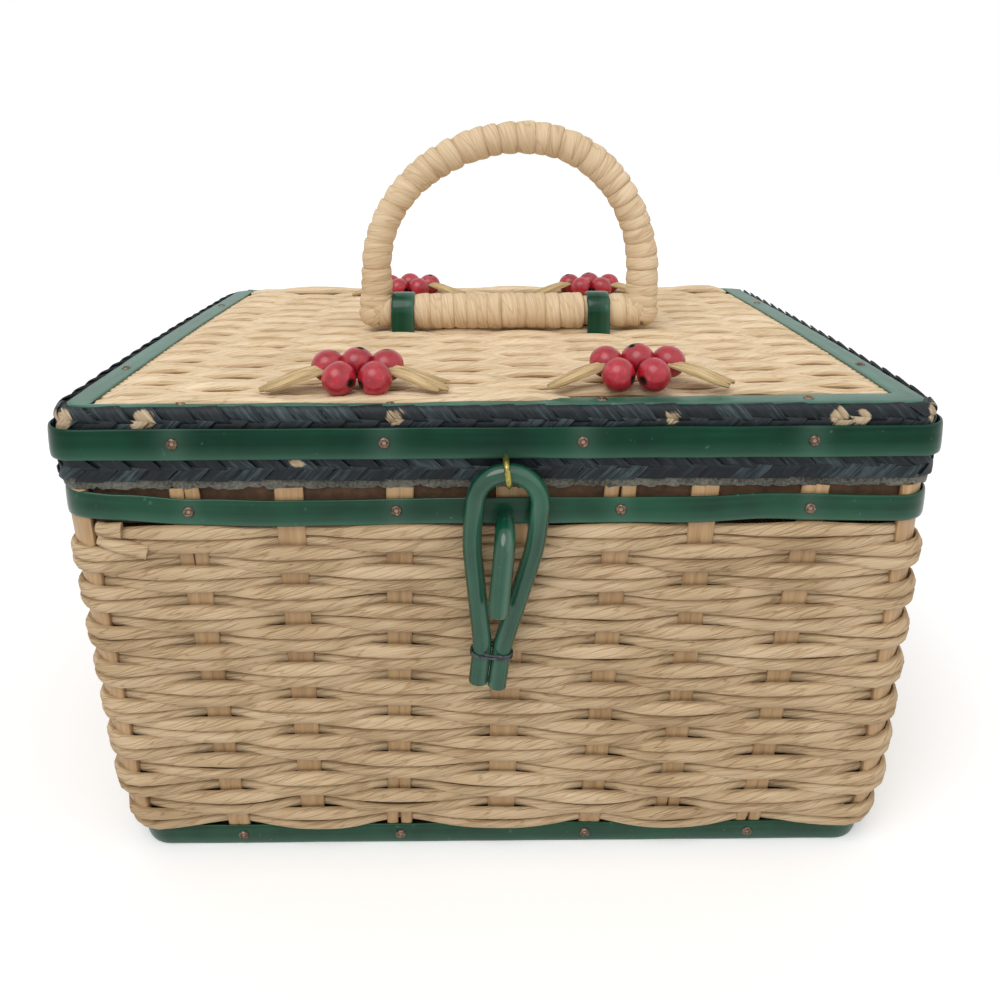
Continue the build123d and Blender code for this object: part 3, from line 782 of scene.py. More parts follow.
class Shade(Enum):
    """The finishes of the basket."""

    WALL_CORD = PaperCord("wall_cord_paper")
    LID_CORD = PaperCord("lid_cord_paper", (190, 164, 128), (218, 194, 160), (237, 217, 188), 34.0, 0.2, 0.1)
    TAPE = PaperCord("handle_tape_paper", (184, 158, 122), (208, 183, 149), (226, 205, 174), 34.0, 0.14, 0.06)
    REED = Reed("reed_grain")
    LID_REED = Reed("lid_reed_grain", (176, 144, 104), (216, 190, 150), (700.0, 18.0, 700.0))
    HOOP = Reed("bent_hoop", (132, 96, 62), (176, 138, 96), (20.0, 20.0, 700.0), 0.55)
    BOARD = Reed("fibreboard", (58, 40, 28), (104, 78, 56), (260.0, 260.0, 260.0), 0.8)
    STRIP = GreenStrip("strip_green")
    SIDE = GreenStrip("side_strip_green", (0, 42, 27), (5, 60, 41), 0.2, 0.16)
    # A paler copy of the strip green: the reflection of the white surroundings on the flat top strip is
    # painted into its colour.
    TOP_LIT = GreenStrip("top_strip_green_painted_reflection", (44, 88, 72), (74, 116, 100), 0.34)
    TUBE = GreenStrip("tube_green", (6, 58, 40), (26, 84, 61), 0.13, 0.6)
    BRAID = Plait("navy_braid")
    FLEECE = Cloth("fleece_nap")
    LINING = Cloth("lining_cloth", (196, 186, 166), (226, 218, 200), 500.0, 0.12, True)
    BRASS = Metal("brass_wire")
    STEEL = Metal("dark_wire", (84, 88, 92), (38, 40, 42), 0.5, 0.5)
    CORE = Metal("handle_wire", (150, 150, 150), (96, 96, 96), 0.4)
    RIVET = RivetMetal("rivet_metal")
    BERRY = BerrySkin("berry_skin")
    RAFFIA = Raffia("raffia")


@dataclass(frozen=True)
class Outline:
    """A rectangle with round corners, in mm."""

    half_width: float
    half_depth: float
    radius: float

    @property
    def length(self) -> float:
        """Its length once round."""
        return 4 * (self.half_width + self.half_depth - 2 * self.radius) + math.tau * self.radius

    def inset(self, by: float) -> "Outline":
        """The outline that lies further in."""
        return Outline(self.half_width - by, self.half_depth - by, max(self.radius - by, 2.0))

    def at(self, distance: float) -> tuple[Vector, Vector]:
        """Walks round from the middle of the front left corner.

        Args:
            distance: How far to walk, in mm.

        Returns:
            The point reached and the outward direction there, both in the plane.
        """
        wide, deep = self.half_width - self.radius, self.half_depth - self.radius
        arc = self.radius * math.pi / 2
        runs = [
            (False, arc / 2, -wide, -deep, 225),
            (True, 2 * wide, -wide, -self.half_depth, 0),
            (False, arc, wide, -deep, 270),
            (True, 2 * deep, self.half_width, -deep, 90),
            (False, arc, wide, deep, 0),
            (True, 2 * wide, wide, self.half_depth, 180),
            (False, arc, -wide, deep, 90),
            (True, 2 * deep, -self.half_width, deep, 270),
            (False, math.inf, -wide, -deep, 180),
        ]
        left = distance % self.length
        for straight, length, x, y, angle in runs:
            if left <= length:
                break
            left -= length
        way = math.radians(angle)
        if straight:
            point = Vector((x + math.cos(way) * left, y + math.sin(way) * left))
            return point, Vector((math.sin(way), -math.cos(way)))
        way += left / self.radius
        normal = Vector((math.cos(way), math.sin(way)))
        return Vector((x, y)) + normal * self.radius, normal


@dataclass(frozen=True)
class Wall:
    """The leaning wall: where its stakes stand and how a line goes round it, in mm."""

    outline: Outline = Outline(145.1, 109.1, 11.0)
    top: float = 144.5
    lean: float = 0.0505
    foot_height: float = 34.0
    foot_radius: float = 110.0
    skew: float = 2.4
    front_x: tuple[float, ...] = (-103.9, -69.2, -32.2, 5.2, 41.3, 69.5, 106.3)
    foot_x: tuple[float, ...] = (-94.4, -66.9, -36.1, 1.0, 33.7, 61.6, 91.9)
    side_y: tuple[float, ...] = (-70.0, -35.0, 0.0, 35.0, 70.0)
    left_rise: Levels = (
        (10, 0.6), (25, 1.7), (40, 2.2), (55, 1.9), (70, 1.1), (85, 0.1), (105, 0.0), (125, -0.8), (135, -0.8)
    )
    right_rise: Levels = ((10, -0.2), (25, 0.2), (40, -0.2), (55, -0.8), (75, -1.1), (125, -1.0))

    def drift(self, z: float) -> float:
        """How far the wall lies inside its place at the top, at height z."""
        return self.lean * (self.top - z) + max(0.0, self.foot_height - z) ** 2 / (2 * self.foot_radius)

    def slope(self, z: float) -> float:
        """The wall's slope at height z, as a tangent."""
        return self.lean + max(0.0, self.foot_height - z) / self.foot_radius

    def aside(self, z: float) -> float:
        """How far the whole wall has drifted to the right at height z."""
        return self.skew * (1 - z / self.top)

    def settled(self, x: float, z: float) -> float:
        """How far a course has settled up or down at a place, in mm."""
        share = clipped((x + 40.0) / 90.0)
        return level_at(self.left_rise, z) * (1 - share) + level_at(self.right_rise, z) * share

    def stations(self, z: float) -> list[float]:
        """Distance round the wall of each stake at height z, from the front left corner."""
        inside = self.drift(z) + self.outline.radius
        wide, deep = self.outline.half_width - inside, self.outline.half_depth - inside
        arc = self.outline.radius * math.pi / 2
        share = z / self.top
        ends = zip(self.front_x, self.foot_x)
        across = [foot + (head - foot) * share - self.aside(z) for head, foot in ends]
        back = [-x for x in reversed(across)]
        spots, start = [0.0], arc / 2
        for half, places in ((wide, across), (deep, self.side_y), (wide, back), (deep, self.side_y)):
            spots += [start + half + place for place in places]
            start += 2 * half + arc
            spots.append(start - arc / 2)
        return spots

    def spot(self, distance: float, z: float, out: float = 0.0) -> tuple[Vector, Vector]:
        """A point beside the wall.

        Args:
            distance: Distance round the wall from the front left corner.
            z: Height.
            out: Distance outward from the stakes' middle.

        Returns:
            The point and the outward direction, square to the wall.
        """
        grow = -self.drift(z)
        ring = Outline(self.outline.half_width + grow, self.outline.half_depth + grow, self.outline.radius)
        point, normal = ring.at(distance)
        face = Vector((normal.x, normal.y, -self.slope(z))).normalized()
        return Vector((point.x + self.aside(z), point.y, z)) + flat(normal, 0) * out, face


def band(
    shell: Shell,
    course: Course,
    half_width: float,
    half_thick: float,
    power: float = 3.4,
    around: int = 16,
    uneven: float = 0.0,
    seed: int = 0,
) -> None:
    """Lays a strip once round the basket.

    Args:
        shell: The mesh that takes it.
        course: Gives the point and the face's direction for a share of the turn and a lift.
        half_width: Half its width.
        half_thick: Half its thickness.
        power: Shape of its section.
        around: Sides of the section.
        uneven: How far its edges wander.
        seed: Seed of the unevenness.
    """
    wander, swell = Wobble(seed, 6, 30), Wobble(seed + 9, 9, 40)
    line = Line()
    count = 520
    for turn in (step / count for step in range(count)):
        point, face = course(turn, uneven * wander.at(turn))
        line.add(point, face, half_width + uneven * 0.8 * swell.at(turn), half_thick)
    line.sweep(shell, power, around, True)


def set_rivets(name: str, body: str, node: str, places: Places) -> None:
    """Sets hollow rivets.

    Args:
        name: The piece's name.
        body: The body that carries them.
        node: The solids that they stand for.
        places: The strip's face and the outward direction at each rivet.
    """
    shell = Shell()
    for place, outward in places:
        turn = UP.rotation_difference(outward).to_matrix().to_4x4()
        shell.spin(RIVET, Matrix.Translation(place) @ turn, 14)
    shell.build(name, Shade.RIVET, body, "rivet", node, sharp=60)


@dataclass
class WovenWall:
    """The woven wall of the body, its strips and rivets, in mm."""

    wall: Wall = field(default_factory=Wall)
    courses: int = 16
    low: float = 9.2
    high: float = 131.3
    samples: int = 10
    reach: float = 2.7
    behind: float = 2.1
    behind_corner: float = 2.95
    corners: tuple[int, ...] = (0, 8, 14, 22, 28)
    lane: float = 1.92
    half_width: float = 1.98
    half_thick: float = 1.26
    upright: float = 0.65
    rim_x: tuple[float, ...] = (-102.0, -33.4, 41.0, 104.0)
    foot_x: tuple[float, ...] = (-93.6, -35.6, 32.6, 92.8)
    rivet_y: tuple[float, ...] = (-70.0, 0.0, 70.0)
    loose_from: float = -133.0
    loose_ends: tuple[tuple[float, float, float], ...] = ((-124.5, 131.0, 130.6), (-116.5, 126.6, 122.8))
    rim_rise: Levels = (
        (-150, 2.4), (-138, 2.8), (-125, 1.8), (-99, 0.0), (-65, -0.7), (-20, 0.0), (66, 0.0), (90, 1.0),
        (136, 0.0),
    )

    def weave(self) -> None:
        """Weaves every course from two flattened cords that lie side by side."""
        shell = Shell()
        pitch = (self.high - self.low) / self.courses
        for course in range(self.courses):
            for lane in (1, -1):
                self._cord(shell, course, self.high - (course + 0.5) * pitch, lane)
        for end_x, start_z, end_z in self.loose_ends:
            line = Line()
            for share in (step / 12 for step in range(13)):
                z = start_z + (end_z - start_z) * share
                bulge = 1.2 + 1.9 * math.sin(math.pi * min(share, 0.6))
                y = self.wall.drift(z) - self.wall.outline.half_depth - bulge
                x = self.loose_from + (end_x - self.loose_from) * share
                line.add(Vector((x, y, z)), Vector((0, -1, 0.1)), 2.1 + 0.7 * share, 1.3)
            line.sweep(shell, 2.2, 10)
        shell.build("wall_cords", Shade.WALL_CORD, "basket", "cord", "body_weave")

    def _cord(self, shell: Shell, course: int, middle: float, lane: int) -> None:
        """Weaves one cord round the wall.

        Args:
            shell: The mesh that takes it.
            course: The course's number from the top.
            middle: The course's height.
            lane: 1 for the upper cord of the pair and -1 for the lower one.
        """
        seed = course * 2 + (lane > 0)
        spots = self.wall.stations(middle)
        rise, swell, roll = Wobble(seed), Wobble(seed + 100, 8, 40), Wobble(seed + 200, 5, 30)
        push = Wobble(seed + 300, 10, 60)
        line = Line()
        for index, (start, end) in enumerate(zip(spots, spots[1:])):
            side = -1 if (index + course) % 2 == 0 else 1
            for share in (step / self.samples for step in range(self.samples)):
                distance = start + (end - start) * share
                turn = distance / spots[-1]
                wave = dive(side, -side, share)
                over, under = max(wave, 0.0) ** 1.8, max(-wave, 0.0)
                apart = lane * (self.lane + 0.68 * over - 0.1 * under)
                z = middle + apart - 0.6 * under + 0.2 * rise.at(turn)
                corner = (index if share < 0.5 else index + 1) in self.corners
                depth = self.reach if wave > 0 else self.behind_corner if corner else self.behind
                point, face = self.wall.spot(distance, z, wave * depth + 0.12 * push.at(turn))
                point.z += self.wall.settled(point.x, z)
                face += UP * (0.12 * roll.at(turn) + 0.26 * lane * over)
                uneven = 1 + 0.05 * swell.at(turn)
                wide = (self.half_width + 0.72 * over - 0.02 * under) * uneven
                line.add(point, face.normalized(), wide, self.half_thick * uneven)
        line.sweep(shell, 2.1, 8, True)

    def strip(
        self, name: str, node: str, edges: tuple[float, float], inside: float, sag: float, rise: Levels
    ) -> None:
        """Puts a green strip round the wall.

        Args:
            name: The piece's name.
            node: The solid that it stands for.
            edges: Its lower and upper edge.
            inside: Distance of its inner face from the stakes' middle.
            sag: How far its edges wander.
            rise: How much higher the strip lies at places across the front.
        """
        shell = Shell()
        middle, half = sum(edges) / 2, (edges[1] - edges[0]) / 2
        length = self.wall.stations(middle)[-1]

        def course(turn: float, lift: float) -> tuple[Vector, Vector]:
            """The strip's point and face at a share of the turn."""
            point, face = self.wall.spot(length * turn, middle + lift, inside + 0.6)
            point.z += level_at(rise, point.x)
            face.z *= self.upright
            return point, face

        band(shell, course, half, 0.62, uneven=sag, seed=len(name))
        outline = self.wall.outline
        # Painted highlight round the rivets, read by the strip's finish.
        painted_rivet_sheen = painted_sheen_rule(four_sides(outline.half_width, outline.half_depth, self.rim_x, self.rivet_y), 4.0)
        shell.build(name, Shade.STRIP, "basket", "green_strip", node, sharp=80, painted_rivet_sheen=painted_rivet_sheen)

    def rivets(self, name: str, node: str, across: Sequence[float], z: float, out: float) -> None:
        """Sets the rivets of a strip.

        Args:
            name: The piece's name.
            node: The solids that they stand for.
            across: Where the rivets of the long sides are.
            z: Height of the rivets.
            out: Distance of the strip's face from the stakes' middle.
        """
        places = []
        outline = self.wall.outline
        for spot, normal in four_sides(outline.half_width, outline.half_depth, across, self.rivet_y):
            spot += normal * (out - self.wall.drift(z)) + RIGHT * (abs(normal.x) * self.wall.aside(z))
            places.append((flat(spot, z), flat(normal, -self.upright * self.wall.slope(z)).normalized()))
        set_rivets(name, "basket", node, places)

    def build(self) -> None:
        """Builds the body's outside."""
        self.weave()
        self.strip("rim_strip", "rim_band", (131.8, 141.2), 1.4, 0.12, self.rim_rise)
        self.strip("foot_strip", "base_band", (0.05, 9.4), 0.9, 0.1, ((0.0, 0.0),))
        self.rivets("rim_strip_rivets", "rim_rivets", self.rim_x, 136.9, 2.62)
        self.rivets("foot_strip_rivets", "base_rivets", self.foot_x, 4.7, 2.12)


@dataclass
class Lid:
    """The lid: its woven panel, braid, strips, fleece edge, lining and rivets, in mm."""

    outline: Outline = Outline(148.4, 112.4, 10.0)
    stake_middle: float = 170.4
    stake_pitch: float = 27.4
    stakes: int = 10
    row_pitch: float = 7.7
    rows: int = 25
    row_end: float = 141.2
    extra_row_end: float = 134.0
    reach: float = 2.15
    leaf_pitch: float = 1.35
    edge_radius: float = 3.3
    strip_level: float = 172.1
    strip_columns: int = 44
    strip_outer: tuple[float, float] = (5.0, 3.6)
    strip_inner: Levels = ((13.6, 6.0), (-13.6, 14.2), (-13.6, -8.0), (13.6, -8.0))
    fleece_top: float = 148.4
    fleece_low: float = 144.4
    rivet_x: tuple[float, ...] = (-105.1, -36.6, 27.8, 102.9)
    rivet_y: tuple[float, ...] = (-72.0, 0.0, 72.0)
    top_rivet_x: tuple[float, ...] = (-104.0, -35.0, 35.0, 104.0)
    lining: Levels = (
        (5.5, 166.4), (5.5, 148.2), (3.6, 147.6), (3.5, 146.4), (5.2, 146.2), (6.9, 147.2), (7.0, 158.0),
        (7.6, 164.2), (9.5, 165.0),
    )
    worn: tuple[tuple[float, ...], ...] = (
        (-141.5, -110.0, 168.5, 3.8), (-114.5, -112.0, 169.0, 4.2), (-33.0, -112.0, 169.5, 4.6),
        (57.0, -112.0, 168.7, 4.4), (111.5, -112.0, 169.3, 4.0), (120.0, -112.0, 169.8, 3.8),
        (143.0, -109.0, 169.8, 3.4), (-66.0, -113.0, 153.5, 2.8), (-150.0, -40.0, 169.0, 4.0),
        (-150.0, 61.0, 152.0, 3.2), (150.0, 22.0, 169.0, 4.0), (150.0, -70.0, 152.0, 3.2),
        (30.0, 112.0, 169.0, 4.2), (-20.0, 112.0, 168.0, 3.4), (-80.0, 112.0, 152.0, 4.0),
    )

    def bowed(self, spot: Vector) -> Vector:
        """Widens the lid a little toward the middle of its short sides, as the real one has settled."""
        share = spot.y / self.outline.half_depth
        reach = 2.6 + 1.15 * share - 2.25 * share**2
        return spot + RIGHT * (reach * spot.x / self.outline.half_width)

    def weave(self) -> None:
        """Weaves the panel's rows, two cords in each."""
        shell = Shell()
        for row in range(-1, self.rows + 1):
            for lane in (1, -1):
                self._cord(shell, row, lane)
        shell.build("lid_cords", Shade.LID_CORD, "lid", "lid_cord", "lid_weave")

    def _cord(self, shell: Shell, row: int, lane: int) -> None:
        """Weaves one cord across the panel.

        Args:
            shell: The mesh that takes it.
            row: The row's number. The first and last rows lap over the top strip.
            lane: 1 for the rear cord of the pair and -1 for the front one.
        """
        seed = 1000 + row * 2 + (lane > 0)
        rise, swell, roll = Wobble(seed, 2, 9), Wobble(seed + 100, 3, 14), Wobble(seed + 200, 3, 14)
        posts = [(index - (self.stakes - 1) / 2) * self.stake_pitch for index in range(self.stakes)]
        signs = [(-1.0) ** (row + index) for index in range(self.stakes)]
        middle = (row - (self.rows - 1) / 2) * self.row_pitch
        front, back = row < 0, row == self.rows
        extra = front or back
        if extra:
            knots, signs = [-self.extra_row_end, *posts, self.extra_row_end], [0.0, *signs, 0.0]
            middle += -2.6 if front else 2.4
        else:
            last = self.row_end - 7.5
            knots, signs = [-self.row_end, -last, *posts, last, self.row_end], [0.0, 0.0, *signs, 0.0, 0.0]
        level = self.stake_middle + (1.2 if front else 1.7 if back else 0.0)
        line = Line()
        for start, end, sign, after in zip(knots, knots[1:], signs, signs[1:]):
            count = 9 if end - start > 12 else 4
            for share in (step / count for step in range(count)):
                x = start + (end - start) * share
                wave = dive(sign, after, share)
                over = max(wave, 0.0) ** 1.6
                turn = (x + self.row_end) / (2 * self.row_end)
                y = middle + lane * (1.95 + 0.35 * over) + 0.3 * rise.at(turn)
                reach = (self.reach if wave > 0 else 0.45) * (0.45 if extra else 1.0)
                z = level + reach * wave + 0.1 * roll.at(turn)
                if front:
                    y += 2.4 * clipped((x + 20.0) / 40.0)
                    z -= 4.6 * clipped((x - 12.0) / 20.0)
                if extra:
                    z -= 1.6 * clipped((abs(x) - 126.0) / 8.0)
                face = Vector((0, 0.14 * roll.at(turn) + 0.24 * lane * over, 1)).normalized()
                wide = (2.2 + 0.5 * over) * (1 + 0.06 * swell.at(turn))
                thick = (2.1 if extra else 1.4) * (1 + 0.05 * swell.at(turn))
                line.add(self.bowed(Vector((x, y, z))), face, wide, thick)
        line.add(self.bowed(Vector((knots[-1], middle + lane * 1.93, line.points[-1].z))), UP, 1.95, 1.0)
        line.sweep(shell, 2.3, 8)

    def course(self, inset: float, z: float, tilt: float = 0.0) -> Course:
        """Makes the course of a band round the lid.

        Args:
            inset: Distance of its middle inside the braid's outer face.
            z: Height of its middle.
            tilt: Angle of its face above the horizon, in degrees.

        Returns:
            A rule that gives the point and the face's direction for a share of the turn and a lift.
        """
        outline = self.outline.inset(inset)
        lean = math.radians(tilt)

        def at(turn: float, lift: float) -> tuple[Vector, Vector]:
            """The band's point and face at a share of the turn."""
            spot, normal = outline.at(outline.length * turn)
            return self.bowed(flat(spot, z + lift)), flat(normal * math.cos(lean), math.sin(lean))

        return at

    def plait(self, shell: Shell, z: float, half: float, leaves: int, bend: bool) -> None:
        """Plaits one row of the braid: slanting leaves that meet in the row's middle.

        Args:
            shell: The mesh that takes them.
            z: Height of the row's middle.
            half: Half the row's height.
            leaves: Pairs of leaves in one turn.
            bend: Whether the row bends inward over the lid's edge.
        """
        outline = self.outline.inset(1.45)
        pitch = outline.length / leaves
        dice = random.Random(int(z))
        for index in range(leaves * 2):
            side = 1 if index % 2 else -1
            start = pitch * index / 2 + dice.uniform(-0.3, 0.3)
            size, high = dice.uniform(0.96, 1.06), dice.uniform(-0.1, 0.1)
            rings = []
            for share in (step / 9 for step in range(10)):
                along = start + self.leaf_pitch * half * share
                up = side * half * (1.0 - self.leaf_pitch * share) + 0.25 * math.sin(index * 2.4)
                out = 0.42 - max(0.0, share - 0.66) / 0.34 - 0.25 * max(0.0, 0.12 - share) / 0.12 + high
                spot, normal = outline.at(along)
                before, after = outline.at(along - pitch / 2), outline.at(along + pitch / 2)
                turned = min(1.7 * math.sqrt(max(1 - before[1].dot(after[1]), 0.0) / 2), 1.0)
                lean = min(max(up - 1.1, 0.0) / self.edge_radius, 1.3) if bend else 0.0
                rise = min(up, 1.1) + self.edge_radius * math.sin(lean) if bend else up
                face = flat(normal * math.cos(lean), math.sin(lean))
                spot = flat(spot - normal * (self.edge_radius * (1 - math.cos(lean))), z + rise)
                chord = flat(after[0] - before[0], 0).normalized()
                way = (chord + face * 0.1 * (1 - turned)).normalized()
                broad = pitch * 0.53 * size * (1 - 0.5 * turned)
                spot = self.bowed(spot + face * (out - 0.3 * turned))
                rings.append(Ring(spot, way, face, broad, 0.42, 3.6))
            shell.strand(rings, 10)

    def braid(self) -> None:
        """Makes the braid: a backing, and the two rows of plaiting that show."""
        shell = Shell()
        band(shell, self.course(2.1, 159.4), 11.4, 0.9, 4.0, 12)
        band(shell, self.course(4.4, 171.1, 90), 2.6, 0.5, 3.0, 10)
        self.plait(shell, 167.9, 4.7, 95, True)
        self.plait(shell, 151.9, 4.2, 99, False)
        shell.build("braid", Shade.BRAID, "lid", "braid", "lid_braid", sharp=60, worn=worn_rule(self.worn))

    def strips(self) -> None:
        """Puts on the side strip and the flat top strip."""
        shell = Shell()
        band(shell, self.course(-0.7, 160.85), 5.4, 0.64, uneven=0.08, seed=5)
        wide, deep = self.outline.half_width + 2.5, self.outline.half_depth
        # Painted highlight round the rivets, read by the strip's finish.
        painted_rivet_sheen = painted_sheen_rule(four_sides(wide, deep, self.rivet_x, self.rivet_y), 5.0)
        shell.build("side_strip", Shade.SIDE, "lid", "green_strip", "lid_side_band", sharp=80, painted_rivet_sheen=painted_rivet_sheen)
        shell = Shell()
        columns, around = 4 * self.strip_columns, 16
        shell.grid(
            columns, around, lambda column, row: self._top_strip(column, row / around),
            [index * 6.0 for index in range(columns + 1)], True,
        )
        shell.build("top_strip", Shade.TOP_LIT, "lid", "green_strip", "lid_top_band", sharp=80)

    def _top_strip(self, column: int, share: float) -> Vector:
        """A point of the top strip, which lies flat round the panel with mitred corners.

        Args:
            column: The section's number, from the front left corner.
            share: How far round the section.

        Returns:
            The point, in mm.
        """
        side, step = divmod(column, self.strip_columns)
        along = step / self.strip_columns
        across, up = squared(share, 3.4)
        ends = []
        for (x, y), inner in zip(CORNERS, self.strip_inner):
            end = Vector((x * self.outline.half_width, y * self.outline.half_depth))
            outer = Vector((-x * self.strip_outer[0], -y * self.strip_outer[1]))
            ends.append(end + outer.lerp(Vector(inner), (1 - across) / 2))
        spot = ends[side].lerp(ends[(side + 1) % 4], along)
        spot -= spot.normalized() * (2.6 * max(0.0, 1 - min(along, 1 - along) * 40) * max(0.0, across))
        return self.bowed(flat(spot, self.strip_level + up * 0.6 + 0.05 * math.sin(column * 1.7)))

    def fleece(self) -> None:
        """Hangs the ragged fleece edge under the braid."""
        shell = Shell()
        outline = self.outline.inset(2.5)
        rag, curl, puff = Wobble(71, 60, 420, 14), Wobble(72, 20, 160, 9), Wobble(73, 80, 300, 9)
        line = Line()
        for turn in (step / 900 for step in range(900)):
            spot, normal = outline.at(outline.length * turn)
            low = max(self.fleece_low + 0.6 * rag.at(turn) + 0.45 * curl.at(turn), self.fleece_low - 1.6)
            middle, half = (self.fleece_top + low) / 2, (self.fleece_top - low) / 2
            face = flat(normal, -0.12 + 0.1 * curl.at(turn)).normalized()
            out = self.bowed(flat(spot + normal * (0.15 * puff.at(turn)), middle))
            line.add(out, face, half, 0.45 + 0.1 * puff.at(turn))
        line.sweep(shell, 2.2, 12, True)
        shell.build("fleece_edge", Shade.FLEECE, "lid", "lining")

    def liner(self) -> None:
        """Lines the lid with padded cloth."""
        shell = Shell()
        tray(shell, self.outline, self.lining, 166.4, 165.0, 0.25)
        # The lining's top is bare card, painted dark as shade under the lid's weave.
        card = lambda point: float(point.z > 165.6)
        shell.build("lid_lining", Shade.LINING, "lid", "lining", "lid_liner", sharp=60, card=card)

    def rivets(self) -> None:
        """Sets the rivets of both strips."""
        wide, deep = self.outline.half_width, self.outline.half_depth
        side = four_sides(wide + 1.32, deep + 1.32, self.rivet_x, self.rivet_y)
        side = [(self._seated(spot, normal, 161.3), normal) for spot, normal in side]
        set_rivets("side_strip_rivets", "lid", "lid_side_rivets", side)
        top = four_sides(wide - 9.3, deep - 6.2, self.top_rivet_x, (-62.0, 62.0))
        for spot, normal in top:
            spot.y += 2.0 if normal.y < 0 < spot.x else 0.0
        top = [(self._seated(spot, normal, 172.42), UP) for spot, normal in top]
        set_rivets("top_strip_rivets", "lid", "lid_top_rivets", top)

    def _seated(self, spot: Vector, normal: Vector, z: float) -> Vector:
        """Puts a rivet at its height, and those of the short sides on the bowed lid."""
        return self.bowed(flat(spot, z)) if normal.x else flat(spot, z)

    def build(self) -> None:
        """Builds the lid."""
        self.weave()
        self.braid()
        self.strips()
        self.fleece()
        self.liner()
        self.rivets()


def tray(
    shell: Shell, outline: Outline, section: Levels, outer_floor: float, inner_floor: float, puff: float
) -> None:
    """Makes a closed tray of padded card from a section that goes once round it.

    Args:
        shell: The mesh that takes it.
        outline: The outline that the section's insets start from.
        section: Inset and height of each point, from the outer floor's edge to the inner floor's.
        outer_floor: Height of the outer floor.
        inner_floor: Height of the inner floor.
        puff: How uneven the padding is.
    """
    count = 132
    shares = (0.0, 0.3, 0.6, 0.85)
    dents = Wobble(int(outline.half_width), 6, 20)
    rows = 2 * len(shares) + len(section) - 1

    def place(column: int, row: int) -> Vector:
        """A point of the tray."""
        turn = column / count
        share = 1.0
        if row < len(shares):
            share, (inset, z) = shares[row], (section[0][0], outer_floor)
        elif row < len(shares) + len(section):
            inset, z = section[row - len(shares)]
        else:
            share, inset = shares[rows - row], section[-1][0]
            z = inner_floor + puff * 2 * (1 - share)
        ring = outline.inset(inset)
        spot, normal = ring.at(ring.length * turn)
        if row > len(shares) + 3 and share == 1.0:
            spot = spot + normal * (puff * dents.at(turn + row * 0.13))
        return flat(spot * share, z)

    shell.grid(count, rows, place, [index * 8.0 for index in range(count + 1)], True, False)


